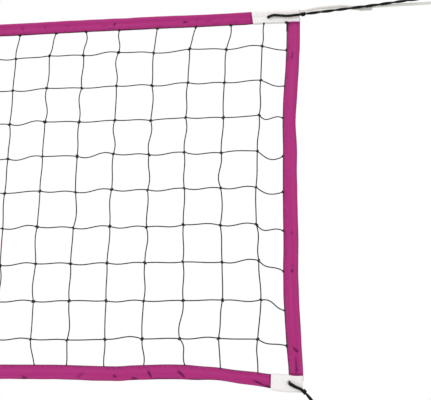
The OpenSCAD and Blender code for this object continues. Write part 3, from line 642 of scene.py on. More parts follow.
def read_off(listed, at):
    """The values beside a place in a list of (place, value, ...), curved from one entry to the next."""
    last = len(listed) - 1
    first = held(bisect_right(listed, (at,)) - 1, 0, last - 1)
    rows = [listed[held(first + k, 0, last)] for k in (-1, 0, 1, 2)]
    t = held((at - rows[1][0]) / (rows[2][0] - rows[1][0]))
    return [catmull(*values, t) for values in list(zip(*rows))[1:]]


def through(a, b, c, d, t):
    """A point between b and c on the smooth line through four points, however far apart they are."""
    near, span, far = (math.sqrt(max((q - p).length, 1e-6)) for p, q in ((a, b), (b, c), (c, d)))
    lead = ((b - a) / near - (c - a) / (near + span) + (c - b) / span) * span
    trail = ((c - b) / span - (d - b) / (span + far) + (d - c) / far) * span
    return b + lead * t + (3 * (c - b) - 2 * lead - trail) * t * t + (2 * (b - c) + lead + trail) * t ** 3


def distances(points):
    """How far along the route each of its points lies."""
    return list(accumulate(((b - a).length for a, b in zip(points, points[1:])), initial=0.0))


def route_length(points):
    return distances(points)[-1]


def evenly(points, step):
    """The smooth route through the points, as stations about one step apart."""
    ends = [points[0], *points, points[-1]]
    fine = [through(*ends[i : i + 4], k / 8) for i in range(len(points) - 1) for k in range(8)]
    fine.append(points[-1])
    count = max(2, round(route_length(fine) / step))
    gap = route_length(fine) / count
    stations, travelled = [fine[0].copy()], 0.0
    for a, b in zip(fine, fine[1:]):
        run = (b - a).length
        while len(stations) < count and travelled + run >= gap * len(stations) - 1e-9:
            stations.append(a.lerp(b, (gap * len(stations) - travelled) / run if run else 0))
        travelled += run
    stations.append(fine[-1].copy())
    return stations


def cross_frames(stations):
    """Two directions across the route at each station, turned as little as can be."""
    frames, across = [], None
    for i in range(len(stations)):
        along = (stations[min(i + 1, len(stations) - 1)] - stations[max(i - 1, 0)]).normalized()
        if across is None:
            across = Vector((0, 0, 1)) if abs(along.y) > 0.9 else Vector((0, 1, 0))
        across = (across - along * across.dot(along)).normalized()
        frames.append((across, along.cross(across)))
    return frames


def nearest(ascending, value):
    """Index of the entry nearest to the value."""
    high = held(bisect_right(ascending, value), 1, len(ascending) - 1)
    return high - 1 if value - ascending[high - 1] < ascending[high] - value else high


def woven(name, lengths, widths, place, layer, value):
    """A closed sleeve of quads, capped at its ends. A layer holds a value at each corner.

    Its rings stand at the lengths, the points of a ring at the widths, and both make its UV map.
    """
    columns, rows = len(lengths) - 1, len(widths) - 1
    bm = bmesh.new()
    uv = bm.loops.layers.uv.new("UVMap")
    bmesh.ops.create_grid(bm, x_segments=columns, y_segments=rows, size=0.5, calc_uvs=True)
    for vert in bm.verts:
        i, k = round((vert.co.x + 0.5) * columns), round((vert.co.y + 0.5) * rows)
        vert.co = place(i, k % rows)
    for face in bm.faces:
        for loop in face.loops:
            i, k = round(loop[uv].uv.x * columns), round(loop[uv].uv.y * rows)
            loop[uv].uv = (lengths[i], widths[k])
    bmesh.ops.remove_doubles(bm, verts=bm.verts, dist=1e-7)
    rims = [edge for edge in bm.edges if edge.is_boundary]
    bmesh.ops.holes_fill(bm, edges=rims, sides=0)
    bmesh.ops.recalc_face_normals(bm, faces=bm.faces)
    marks = bm.loops.layers.float.new(layer)
    uv = bm.loops.layers.uv.active
    known = lru_cache(maxsize=None)(value)
    for face in bm.faces:
        for loop in face.loops:
            i, k = nearest(lengths, loop[uv].uv.x), nearest(widths, loop[uv].uv.y) % rows
            loop[marks] = known(i, k)
    return mesh_of(bm, name)


def braid_height(along, angle, radius, strands):
    """Height, from 0 to 1, of a braid whose strands cross over and under each other."""
    twist = 0.5 * along / radius
    one, other = strands * (angle + twist), strands * (angle - twist)
    over = (math.floor(one / math.pi) + math.floor(other / math.pi)) % 2 == 0
    top, under = (one, other) if over else (other, one)
    return abs(math.sin(top)) ** 0.7 * (0.5 + 0.5 * abs(math.sin(under)))


def rope_mesh(name, stations, radius, braid, pair=None):
    """A braided rope along its stations. The braid stands in its geometry.

    A pair is two such cords side by side: half of their distance at the start and at the end, and the
    length in which they turn once round each other, or None.
    """
    sides, strands, depth = braid
    frames, travelled = cross_frames(stations), distances(stations)
    angles = [2 * math.pi * k / sides for k in range(sides + 1)]

    @lru_cache(maxsize=None)
    def height(i, k):
        return braid_height(travelled[i], angles[k], radius, strands)

    def reach(i, angle):
        """How far the cords' outline stands from the middle."""
        if pair is None:
            return radius
        first, last, pitch = pair
        spread = first + (last - first) * travelled[i] / travelled[-1]
        turned = angle - (2 * math.pi * travelled[i] / pitch if pitch else 0.0)
        bulge = math.sqrt(max(0.0, radius ** 2 - (spread * math.sin(turned)) ** 2))
        return max(spread * abs(math.cos(turned)) + bulge, 0.35 * radius)

    def place(i, k):
        across, up = frames[i]
        out = reach(i, angles[k]) * (1 - depth * (1 - height(i, k)))
        return stations[i] + (across * math.cos(angles[k]) + up * math.sin(angles[k])) * out

    return woven(name, travelled, [radius * angle for angle in angles], place, "lay", height)


def coil(centre, axis, radius, turns, pitch):
    """Points of a coil about an axis through its centre."""
    across = axis.orthogonal().normalized()
    up = axis.cross(across)
    count = round(turns * TURN_STEPS)
    points = []
    for i in range(count + 1):
        angle = 2 * math.pi * i / TURN_STEPS
        shift = axis * pitch * turns * (i / count - 0.5)
        points.append(centre + shift + (across * math.cos(angle) + up * math.sin(angle)) * radius)
    return points


def arc(centre, radius, start, end, steps):
    """Points on an upright circle about a centre, from one angle to another."""
    angles = [start + (end - start) * k / steps for k in range(steps + 1)]
    return [centre + Vector((math.cos(angle), 0, math.sin(angle))) * radius for angle in angles]


# Radius of the rounded edges of the packed parts, by the ends of their names.
ROUNDED = {
    "base_plate": 0.0012, "sleeve": 0.0010, "wheel_bracket": 0.0009, "winch_frame": 0.0008,
    "winch_ratchet": 0.0003, "crank_arm": 0.0010, "_ballast": 0.0060, "clamp_collar": 0.0015,
    "head_fork": 0.0010, "rope_bracket": 0.0009, "feet": 0.0012, "clamp_knob": 0.0020,
    "ballast_bolts": 0.0006, "sleeve_bolts": 0.0005, "winch_drum": 0.0005, "_pins": 0.0004,
    "pawl": 0.0004, "_axle": 0.0006,
}
# Ends of the names of the nodes that other pieces replace.
SOFT_NODES = (
    "_tape", "_patch", "_tie_rope", "_hitches", "net_mesh", "eyelets", "headline_rope",
    "headline_turns",
)


def body_of(node):
    """The body that carries a node."""
    return next(name for name, nodes in frame["record"]["behaviour"]["bodies"].items() if node in nodes)


def refined(node, width):
    """The packed shape of a node with its hard edges rounded. The new faces are marked as edges."""
    bm = bmesh.new()
    bm.from_mesh(frame["nodes"][node].data)
    bmesh.ops.remove_doubles(bm, verts=bm.verts, dist=1e-6)
    bmesh.ops.dissolve_limit(
        bm, angle_limit=math.radians(0.5), verts=bm.verts, edges=bm.edges, use_dissolve_boundaries=False
    )
    worn = bm.faces.layers.float.new("edge")
    hard = [edge for edge in bm.edges if edge.is_manifold and edge.calc_face_angle() > math.radians(32)]
    made = bmesh.ops.bevel(
        bm, geom=hard, offset=width, offset_type="OFFSET", segments=2, profile=0.5,
        affect="EDGES", clamp_overlap=True, material=-1,
    )
    for face in made["faces"]:
        face[worn] = 1.0
    return mesh_of(bm, node + "_rounded")


def hardened(mesh):
    """Let each face take its corners' normals from the larger faces, so that flat faces look flat."""
    bm = bmesh.new()
    bm.from_mesh(mesh)
    weights = {face: face.normal * face.calc_area() for face in bm.faces}
    normals = []
    for face in bm.faces:
        for loop in face.loops:
            total = Vector()
            for other in loop.vert.link_faces:
                if other.normal.dot(face.normal) > 0.55:
                    total += weights[other]
            normals.append(total.normalized() if total.length else face.normal.copy())
    bm.free()
    mesh.normals_split_custom_set(normals)


def joined(name, meshes):
    """One mesh out of several that share one finish."""
    bm = bmesh.new()
    for mesh in meshes:
        bm.from_mesh(mesh)
    for mesh in meshes:
        bpy.data.meshes.remove(mesh)
    return mesh_of(bm, name)


def turned(name, outline, steps):
    """A ring: a closed outline of (radius, height) points, turned a full turn about the z axis."""
    bm = bmesh.new()
    verts = [bm.verts.new((radius, 0, height)) for radius, height in outline]
    edges = [bm.edges.new(pair) for pair in zip(verts, verts[1:] + verts[:1])]
    bmesh.ops.spin(
        bm, geom=verts + edges, cent=(0, 0, 0), axis=(0, 0, 1), angle=2 * math.pi, steps=steps,
        use_merge=True, use_duplicate=False,
    )
    bmesh.ops.recalc_face_normals(bm, faces=bm.faces)
    return mesh_of(bm, name)


def scattered(name, template, places):
    """Copies of a small template, one at each place."""
    rest = [0.0] * (3 * len(template.vertices))
    template.vertices.foreach_get("co", rest)
    bm = bmesh.new()
    for place in places:
        template.vertices.foreach_set("co", rest)
        template.transform(place)
        bm.from_mesh(template)
    bpy.data.meshes.remove(template)
    return mesh_of(bm, name)


# ---- The knotted net ----

# How far the end columns lean outwards below the top tape and above the bottom tape, in millimetres.
TOP_SLANTS = (0, 9, 19, 17, 9)
BOTTOM_SLANTS = (2, -7, 13, 5, 0)
# How far each level twine drops between its last knot and the side tape, from the top, in millimetres.
TAPE_DROPS = (13, 17, 9, 17, 15, 20, 26, 28, 17)
# How each of those last stretches hangs: its bow and its wave, in millimetres.
TAPE_SPANS = (
    (-2.5, 0.5), (-6, 1.4), (-5.5, -5.8), (-15, 1.4), (-12, 0), (-6.5, -5.7), (-4, -3.3),
    (4.5, 3.5), (-4.3, -2.3),
)
# How far each row pulls the outermost upright twine outwards, from the top, in millimetres. The next
# twines are pulled by a share of it.
ROW_PULLS = (5, 5, 2, 0, 0, 0, 8, 11, 0)
PULL_SHARES = (1, 1, 0.42, 0.1)
# Size of a knot: under the top tape, in the net, above the bottom tape, and at a side tape.
TOP_KNOT, NET_KNOT, BOTTOM_KNOT, SIDE_KNOT = 0.95, 1.0, 0.6, 0.85
# The lashing of an upper corner: its knot's middle in millimetres, and the height that its twine is
# whipped down from, how far, and in how many turns.
LASHING_KNOT = (4698.5, -4, 2396.2)
WHIPPED_FROM, WHIPPED_LENGTH, WHIPPED_TURNS = 2.3945, 0.024, 4


@lru_cache(maxsize=None)
def side_edges(height):
    """Inner and outer edge of the right side tape at a height."""
    return tuple(read_off(SIDE_EDGES, height))


@lru_cache(maxsize=None)
def bottom_mid(x):
    """Middle line of the bottom tape."""
    lift = read_off(BOTTOM_LIFTS, abs(x))[0] * MM
    waves = BOTTOM_WAVE * smoothed((WAVES_END - abs(x)) / 0.3) * wobble(x * 4.1, 2.5, 0)
    return BOTTOM_MID - CORNER_DROP * smoothed((abs(x) - DROP_START) / DROP_RUN) + lift + waves


@lru_cache(maxsize=None)
def bottom_half(x):
    """Half of the bottom tape's width."""
    return (BOTTOM_FACE - read_off(BOTTOM_PINCHES, abs(x))[0] * MM) / 2


@lru_cache(maxsize=None)
def top_sag(x):
    """How far the top tape dips between its corner patches."""
    dip = TOP_DIP * smoothed((abs(x) - DIP_START) / 0.10) * (1 - smoothed((abs(x) - DIP_END) / 0.04))
    return dip + TOP_WAVE * (1 - smoothed((abs(x) - WAVES_END) / 0.2)) * wobble(x * 3.3, 8.5, 0)


def border_drop(place):
    """How far the border twine stands out of a tape's edge."""
    return 0.0004 + 0.0006 * wobble(place * 23, 4.5, 0)


def under_top_tape(x):
    return Vector((x, 0, TOP_EDGE - top_sag(x) - border_drop(x)))


class Net:
    """Where the net's knots are. Columns are counted from the left, rows from the top."""

    def __init__(self):
        self.look = settings("net_settings")
        self.columns, self.rows = self.look.columns, self.look.rows
        chance = random.Random(94)
        self.shift = {
            (i, j): Vector([chance.uniform(-most, most) for most in (2, 1.5, 2)]) * MM
            for i in range(self.columns)
            for j in range(self.rows)
        }

    def column_x(self, i):
        return self.look.half_width * (2 * i / (self.columns - 1) - 1)

    def row_z(self, j):
        return self.look.first_row - self.look.mesh * j

    def from_end(self, i):
        return min(i, self.columns - 1 - i)

    def slant(self, i, slants):
        """How far outwards column i leans at a tape; the end columns have their own leans."""
        from_end = self.from_end(i)
        lean = slants[-1 - from_end] if from_end < len(slants) else 8 + 8 * math.sin(1.9 * i)
        return math.copysign(lean, i - self.columns / 2) * MM

    def knot(self, i, j):
        """The knot where column i meets row j; past the last knots, the place on the tape."""
        if j < 0:
            return under_top_tape(self.column_x(i) + self.slant(i, TOP_SLANTS))
        if j >= self.rows:
            x = self.column_x(i) + self.slant(i, BOTTOM_SLANTS)
            return Vector((x, 0, bottom_mid(x) + bottom_half(x)))
        if i < 0 or i >= self.columns:
            z = self.row_z(j) - TAPE_DROPS[j % len(TAPE_DROPS)] * MM
            return Vector((math.copysign(side_edges(z)[0] - border_drop(z), i), 0, z))
        x, z = self.column_x(i), self.row_z(j)
        t = (z - SIDE_LOW.z) / (SIDE_HIGH.z - SIDE_LOW.z)
        pull = SIDE_BOW * math.sin(math.pi * t) * math.exp(-(NET_EDGE - abs(x)) / 0.18)
        if self.from_end(i) < len(PULL_SHARES):
            pull -= ROW_PULLS[j % len(ROW_PULLS)] * PULL_SHARES[self.from_end(i)] * MM
        zigzag = 0.0022 * (1 - j / self.rows) * (1 if i % 2 else -1)
        return Vector((x - pull * math.copysign(1, x), 0, z + zigzag)) + self.shift[i, j]

    def border(self):
        """The twine along the inner edges of the four tapes."""
        xs = stations_between(-TOP_HIGH.x + 0.004, TOP_HIGH.x - 0.004, 0.016)
        runs = [
            [under_top_tape(x) for x in xs],
            [Vector((x, 0, bottom_mid(x) + bottom_half(x) - 0.0002)) for x in xs],
        ]
        heights = stations_between(SIDE_LOW.z, SIDE_HIGH.z, 0.012)
        for side in SIDE_NAMES:
            runs.append([Vector((side * (side_edges(z)[0] - border_drop(z)), 0, z)) for z in heights])
        return runs


def slack_twine(start, end, bow, wave, across, steps=8):
    """Points from one knot to the next along a twine that isn't quite tight."""
    return [
        start.lerp(end, k / steps)
        + across * (bow * math.sin(math.pi * k / steps) + wave * math.sin(2 * math.pi * k / steps))
        for k in range(steps)
    ]


def twine_mesh(name, runs, thickness):
    """Tubes along the runs of twine."""
    curve = bpy.data.curves.new(name, "CURVE")
    curve.dimensions = "3D"
    curve.bevel_depth = thickness / 2
    curve.bevel_resolution = 2
    curve.use_fill_caps = True
    for run in runs:
        spline = curve.splines.new("POLY")
        spline.points.add(len(run) - 1)
        for point, place in zip(spline.points, run):
            point.co = (*place, 1)
    holder = linked(name + "_curve", curve)
    bpy.context.view_layer.update()
    depsgraph = bpy.context.evaluated_depsgraph_get()
    tubes = bpy.data.meshes.new_from_object(holder.evaluated_get(depsgraph), depsgraph=depsgraph)
    bpy.data.objects.remove(holder)
    bpy.data.curves.remove(curve)
    bm = bmesh.new()
    bm.from_mesh(tubes)
    bpy.data.meshes.remove(tubes)
    bmesh.ops.remove_doubles(bm, verts=bm.verts, dist=1e-6)
    uv = bm.loops.layers.uv.active
    lengths = max(route_length(run) for run in runs)
    for face in bm.faces:
        for loop in face.loops:
            loop[uv].uv = (loop[uv].uv.x * lengths, loop[uv].uv.y * math.pi * thickness)
    return mesh_of(bm, name)


def knot_template(thickness):
    """A small knot: two loops of twine that grip each other."""
    middle, thick = thickness * 0.95, thickness * 0.58
    angles = [math.pi * k / 3 for k in range(6)]
    outline = [(middle - thick * math.sin(angle), thick * math.cos(angle)) for angle in angles]
    squeezed = Matrix.Diagonal((1.15, 0.85, 1.0, 1.0))
    tilted = [squeezed @ Matrix.Rotation(tilt, 4, "Y") for tilt in (0.62, -0.62)]
    return scattered("knot", turned("loop", outline, 7), tilted)


# ---- Sewn tapes ----

# Where a tape's face has its first points, from each of its edges.
EDGE_STEPS = (0.0006, 0.0018, 0.0034)
# How far each side of a patch's lip stands out, past the sheet's own: at its rim, and halfway to the tape.
RIM_GAP, LIP_GAP = 0.0002, 0.0006
# A cloth keeps its creases by stretches of this length, so that a point only asks for those near it.
CREASE_CELL = 0.05
# A cloth's relief: its long and its fine ripples, its puckers and creases, its swell between the seams,
# and the waves of its edges.
RIPPLE, FINE_RIPPLE, PUCKER, CREASE = 0.0012, 0.0005, 0.00042, 0.0015
SWELL = 0.00035
EDGE_WAVE = 0.0007


def half_thickness(across, width, hem):
    """Half of a tape's thickness: level, and swelling towards the headline in its hem."""
    if hem is None:
        return HALF_TAPE
    return HALF_TAPE + (hem - HALF_TAPE) * smoothed((across - (width - hem - HEM_RISE)) / HEM_RISE)


def tape_face(width, hem, grow, count=11):
    """One face of a tape as (across, out) points from its near edge to its far one, grown outwards."""
    near = EDGE_STEPS[-1]
    level_end = width - (hem or near)
    marks = [*EDGE_STEPS[:-1], *(near + (level_end - near) * k / count for k in range(count + 1))]
    if hem is None:
        marks += [width - step for step in reversed(EDGE_STEPS[:-1])]
    points = [(across, half_thickness(across, width, hem) + grow) for across in marks]
    if hem:
        turns = [math.radians(15 * k) for k in range(1, 6)]
        points += [(level_end + (hem + grow) * math.sin(a), (hem + grow) * math.cos(a)) for a in turns]
    return points


def tape_outline(width, hem=None):
    """A tape's cross-section as (across, out) points. A hem, if any, is a round pocket at its far edge."""
    butt = 0.45 * HALF_TAPE
    front, back = tape_face(width, hem, 0.0), tape_face(width, hem, 0.0, 7)
    tip = [(width, 0.0)] if hem else [(width, -butt), (width, butt)]
    return [(0.0, butt), (0.0, -butt)] + [(across, -out) for across, out in front] + tip + back[::-1]


def leaf(width, hem, grow, near_lip, far_lip):
    """One side of a patch's leaf as (across, out) points, from its near lip to its far edge."""
    rim, lip = grow + RIM_GAP, grow + LIP_GAP
    points = [(-near_lip, rim), (-near_lip * 0.5, lip), *tape_face(width, hem, grow)[1:]]
    if hem is None:
        points = points[:-1] + [(width + far_lip * 0.5, lip), (width + far_lip, rim)]
    return points


def patch_outline(width, hem, near_lip, far_lip):
    """A patch's cross-section: a thin sheet round the tape, its leaves sewn together past the edges."""

    def both(grow):
        """The front, the bend round the far edge and the back, on one side of the sheet."""
        face = leaf(width, hem, grow, near_lip, far_lip)
        return [(across, -out) for across, out in face] + [(width + far_lip + grow, 0.0)] + face[::-1]

    return both(VINYL_OUT) + both(VINYL_IN)[::-1]


class Cloth:
    """The ripples, puckers and creases of one tape, or of the smoother patch over it.

    Ends are those of the tape. A lip is how strong the painted shade along a patch's rim is. The
    left-hand patches read their cloth from the other end of the tape, so that they mirror the right-hand
    ones.
    """

    def __init__(self, width, seed, ends, lip=0.0, creases=(), plain=False, side=RIGHT):
        self.width = width
        self.seed = seed
        self.ends = ends
        self.lip = lip
        self.plain = plain
        self.side = side
        self.creases = {}
        for crease in creases:
            cell = math.floor(crease[0] / CREASE_CELL)
            for near in (cell - 1, cell, cell + 1):
                self.creases.setdefault(near, []).append(crease)

    def crease(self, along, across):
        """How deep the creases run at a point, from 0 to 1."""
        depth = 0.0
        near = self.creases.get(math.floor(along / CREASE_CELL), ())
        for s, t, length, angle, strength, breadth in near:
            ds, dt = along - s, across - t
            lengthwise = 2 * (ds * math.cos(angle) + dt * math.sin(angle)) / length
            sideways = -ds * math.sin(angle) + dt * math.cos(angle)
            tapered = breadth * (1 - 0.4 * held(lengthwise, -1.0, 1.0))
            depth = max(depth, strength * math.exp(-(lengthwise ** 4)) * bell(sideways, 0, tapered))
        return depth

    def ridge(self, along, share):
        """The pucker's ridges, across the seam: 1 on a crest."""
        return 1 - abs(wobble(along * 85, share * 1.3, self.seed + 9))

    def from_end(self, along):
        return min(along - self.ends[0], self.ends[1] - along)

    def move(self, along, across, out):
        """Shift across the tape and out of it at a point of its surface."""
        spot, share = self.side * along, across / self.width
        face = math.copysign(1, out) if abs(out) > 1e-6 else 0
        calm = smoothed(self.from_end(spot) / 0.10)
        ripple = calm * RIPPLE * wobble(spot * 7, share * 0.8, self.seed)
        fine = calm * FINE_RIPPLE * wobble(spot * 34, share * 2.2, self.seed + 5)
        relief = SWELL * math.sin(math.pi * held(share))
        if not self.plain:
            seam = bell(share, 0.14, 0.10) + 0.7 * bell(share, 0.86, 0.10)
            relief -= PUCKER * self.ridge(spot, share) ** 5 * seam + CREASE * self.crease(spot, across)
        edge = EDGE_WAVE * wobble(spot * 22, self.seed, 3) * (1 if share > 0.5 else -1)
        return edge, ripple + fine + face * relief

    def lie(self, along, across, out, to_world):
        """The place in the world of a point of the surface."""
        edge, lift = self.move(along, across, out)
        return to_world(along, across + edge, out + lift)

    def painted_shade(self, along, across):
        """Painted shade at a point: along seamed edges, in puckers and creases, and along a patch's lip."""
        spot, share = self.side * along, across / self.width
        if self.plain:
            # Painted shade along a patch's lip, its strength wavering at random along the patch.
            patchy = 0.5 + 0.5 * wobble(spot * 190, self.seed, 1)
            return self.lip * (0.55 + 0.45 * patchy) * bell(across, -0.0014, 0.0015)
        # Painted shade along both edges, in the puckers and in the creases.
        edges = 0.50 * bell(across, 0, 0.0016) + 0.34 * bell(across, self.width, 0.0018)
        puckers = 0.30 * self.ridge(spot, share) ** 6 * bell(share, 0.12, 0.14)
        creases = 1.3 * self.crease(spot, across)
        # Painted shadow on a side tape's ends, where the patches' edges lie over them.
        ends = 0.62 * bell(self.from_end(spot), END_COVER, 0.0030) if self.width == SIDE_W else 0.0
        return min(1.0, edges + puckers + creases + ends)


def tape_mesh(name, stations, outline, cloth, to_world):
    """A tape: its outline carried along the stations, rippled and put in the world."""
    sides = zip(outline, outline[1:] + outline[:1])
    perimeter = list(accumulate((math.hypot(c - a, d - b) for (a, b), (c, d) in sides), initial=0.0))

    def place(i, k):
        return cloth.lie(stations[i], *outline[k], to_world)

    # The painted shade at each corner, in a layer that the finish reads.
    def painted_shade(i, k):
        return cloth.painted_shade(stations[i], outline[k][0])

    return woven(name, stations, perimeter, place, "painted_shade", painted_shade)


def stations_between(start, end, step, creases=()):
    """Places from start to end, a step apart, and twice as close round the creases."""
    count = max(2, round((end - start) / step))
    places = [start + (end - start) * i / count for i in range(count + 1)]
    between = [(a + b) / 2 for a, b in zip(places, places[1:])]
    reaches = [(crease[0], crease[2] * abs(math.cos(crease[3])) / 2 + 0.005) for crease in creases]
    return sorted(places + [x for x in between if any(abs(x - s) < reach for s, reach in reaches)])


def stitch_template(length):
    """One stitch: a short plump thread."""
    bm = bmesh.new()
    bmesh.ops.create_icosphere(bm, subdivisions=1, radius=1)
    bmesh.ops.scale(bm, verts=bm.verts, vec=(length * 0.36, 0.00030, 0.00036))
    return mesh_of(bm, "stitch")


def stitch_places(points, size=1.0):
    """Where the stitches of a row lie, one between each two points and turned along the row."""
    places = []
    for a, b in zip(points, points[1:]):
        turn = Vector((1, 0, 0)).rotation_difference((b - a).normalized()).to_matrix().to_4x4()
        places.append(Matrix.Translation((a + b) / 2) @ turn @ Matrix.Scale(size, 4))
    return places


def sewn_rows(stations, seams, cloth, to_world):
    """The stitches of rows along the stations, each seam given as (across, out) of its front."""
    places = []
    for across, out in seams:
        for side in (-out, out):
            places += stitch_places([cloth.lie(s, across, side, to_world) for s in stations])
    return places


# Creases by the right-hand end: (metres from the middle or above the floor, millimetres across from the
# mesh side, length in millimetres, angle in degrees, depth, breadth in millimetres). Each dips the cloth a
# little and is darkened with painted shade. A long tape's last one is painted shadow along its corner
# patch's edge, mirrored at the left-hand end; the bottom tape's two at 35.6 mm across are painted shadow
# along its lower edge. Past them, tapes get their own by chance.
TOP_CREASES = (
    (4.2152, 18, 10, 60, 0.75, 2.6), (4.4171, 15, 14, 6, 0.85, 2.4), (4.4828, 15, 20, 8, 0.35, 2.0),
    (4.4500, 18, 8, 40, 0.3, 2.0), (4.6010, 17, 34, 97, 0.5, 1.5),
)
BOTTOM_CREASES = (
    (4.2619, 25, 10, 20, 0.8, 3.0), (4.3526, 24, 21, 62, 1.0, 2.3), (4.4340, 24, 26, 42, 1.0, 2.7),
    (4.6340, 29, 34, 18, 1.0, 2.4), (4.6540, 33, 16, 6, 1.0, 3.0), (4.3950, 35.6, 76, 0, 0.75, 1.5),
    (4.5000, 35.6, 90, 0, 0.7, 1.4), (4.6580, 18, 40, 90, 0.65, 1.6),
)
SIDE_CREASES = (
    (2.3010, 16, 24, 4, 0.7, 1.9), (1.8075, 20, 9, 70, 0.35, 3.4), (1.7080, 21, 8, 35, 0.85, 3.0),
    (1.7220, 21, 8, 20, 0.35, 2.6), (1.5080, 20, 17, -42, 1.0, 2.6), (1.4700, 19, 42, 2, 0.85, 2.0),
    (1.4580, 20, 8, 20, 0.8, 2.8), (2.1500, 16, 12, 10, 0.15, 2.0), (1.9800, 18, 10, 30, 0.15, 2.0),
)


def creases_for(listed, length=None, seed=0):
    """The listed creases by the right-hand end, and others like them back to minus the length."""
    scaled = [
        (s, t * MM, size * MM, math.radians(angle), depth, breadth * MM)
        for s, t, size, angle, depth, breadth in listed
    ]
    if length is None:
        return scaled
    chance = random.Random(seed)
    found = list(scaled)
    x = -length
    while x < min(s for s, *_ in scaled) - 0.08:
        x += chance.uniform(0.06, 0.22)
        _, t, size, angle, depth, breadth = chance.choice(scaled[:-1])
        angle *= chance.choice((-1, 1))
        found.append((x, t, size, angle, depth * chance.uniform(0.3, 0.9), breadth))
    s, t, size, angle, depth, breadth = scaled[-1]
    return found + [(-s, t, size, math.pi - angle, depth, breadth)]


# What the cloths of a long tape and its patches share: width, seed, ends, and the strength of the painted
# shade along a patch's rim.
TOP_CLOTH = (TOP_FACE, 11, (TOP_LOW.x, TOP_HIGH.x), 0.62)
BOTTOM_CLOTH = (BOTTOM_FACE, 23, (BOTTOM_LOW.x, BOTTOM_HIGH.x), 0.25)


def top_world(along, across, out):
    return Vector((along, out, TOP_EDGE + across - top_sag(along)))


def bottom_world(along, across, out):
    half = bottom_half(along)
    return Vector((along, out, bottom_mid(along) + half - across * 2 * half / BOTTOM_FACE))


def side_world(side):
    def world(along, across, out):
        inner, outer = side_edges(along)
        return Vector((side * (inner + (outer - inner) * across / SIDE_W), out, along))

    return world


def sew(node, stations, outline, cloth, to_world, seams):
    """A tape and its rows of stitches, which run along the seams on both of its faces."""
    look = settings("tape_settings")
    name = node + "_cloth"
    mesh = tape_mesh(name, stations, outline, cloth, to_world)
    dress(name, mesh, "tape_cloth", (node,), smooth=60)
    row = stations_between(stations[2], stations[-3], look.stitch)
    places = sewn_rows(row, [(across, HALF_TAPE + TAPE_STITCH) for across in seams], cloth, to_world)
    stitches = scattered(name + "_stitches", stitch_template(look.stitch), places)
    dress(name + "_stitches", stitches, "tape_cloth", finish="tape_thread")


# ---- Operators ----


class PieceOperator:
    """What the makers of pieces share."""

    bl_options = {"REGISTER", "UNDO"}

    def execute(self, context):
        self.make(context)
        return {"FINISHED"}


class VOLLEYBALL_OT_camera(PieceOperator, bpy.types.Operator):
    """Stand the camera in front of the net's right-hand end, looking up at it"""

    bl_idname = "volleyball.camera"
    bl_label = "Camera"

    def make(self, context):
        stage = context.scene.stage_settings
        data = bpy.data.cameras.new("camera")
        data.sensor_width = 36
        data.lens = stage.lens
        data.clip_end = 200
        camera = linked("camera", data)
        turned = Matrix.Rotation(stage.yaw, 4, "Z")
        tilted = Matrix.Rotation(math.pi / 2 + stage.pitch, 4, "X")
        rolled = Matrix.Rotation(stage.roll, 4, "Z")
        camera.matrix_world = Matrix.Translation(stage.place) @ turned @ tilted @ rolled
        context.scene.camera = camera


class VOLLEYBALL_OT_stage(PieceOperator, bpy.types.Operator):
    """Lay the floor and light the object softly from a white surround"""

    bl_idname = "volleyball.stage"
    bl_label = "Floor and lights"

    def make(self, context):
        stage = context.scene.stage_settings
        bm = bmesh.new()
        bmesh.ops.create_grid(bm, x_segments=1, y_segments=1, size=60)
        floor = linked("floor", mesh_of(bm, "floor"))
        floor.data.materials.append(floor_finish(stage.floor))
        floor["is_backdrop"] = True
        world = bpy.data.worlds.new("white_surround")
        world.use_nodes = True
        sky = world.node_tree.nodes["Background"]
        sky.inputs["Color"].default_value = (1, 1, 1, 1)
        sky.inputs["Strength"].default_value = stage.sky
        context.scene.world = world
        self.lamp("key_light", (2.2, -4.5, 4.6), (4.6, 0, 1.6), 3.0, 22)
        self.lamp("fill_light", (9.5, -4.0, 3.4), (5.0, 0, 1.4), 2.6, 8)
        self.lamp("left_light", (-6.5, -5.0, 4.5), (-4.0, 0, 1.5), 3.0, 22)
        context.scene.view_settings.view_transform = "Standard"
        context.scene.view_settings.look = "None"

    def lamp(self, name, place, target, size, watts):
        data = bpy.data.lights.new(name, "AREA")
        data.size = size
        data.energy = watts
        lamp = linked(name, data)
        aim = (Vector(target) - Vector(place)).to_track_quat("-Z", "Y")
        lamp.matrix_world = Matrix.Translation(place) @ aim.to_matrix().to_4x4()


class VOLLEYBALL_OT_tie_ropes(PieceOperator, bpy.types.Operator):
    """Stretch the four tie ropes from the net's corners to the poles"""

    bl_idname = "volleyball.tie_ropes"
    bl_label = "Tie ropes"

    def make(self, context):
        look = context.scene.rope_settings
        for side, side_name in SIDE_NAMES.items():
            for level, route in (("top", TOP_TIE_ROUTE), ("bottom", BOTTOM_TIE_ROUTE)):
                name = f"{level}_{side_name}_tie_rope"
                points = in_metres(route, side)
                twisted = (TWIST_SPREAD, TWIST_SPREAD, TWIST_PITCH)
                mesh = rope_mesh(name, evenly(points, look.step), look.cord / 2, PAIR_BRAID, twisted)
                rope = dress(name + "_braid", mesh, "tie_rope", (name,))
                tuple(points[0])
                route_length(points)
                [tuple(point) for point in points]


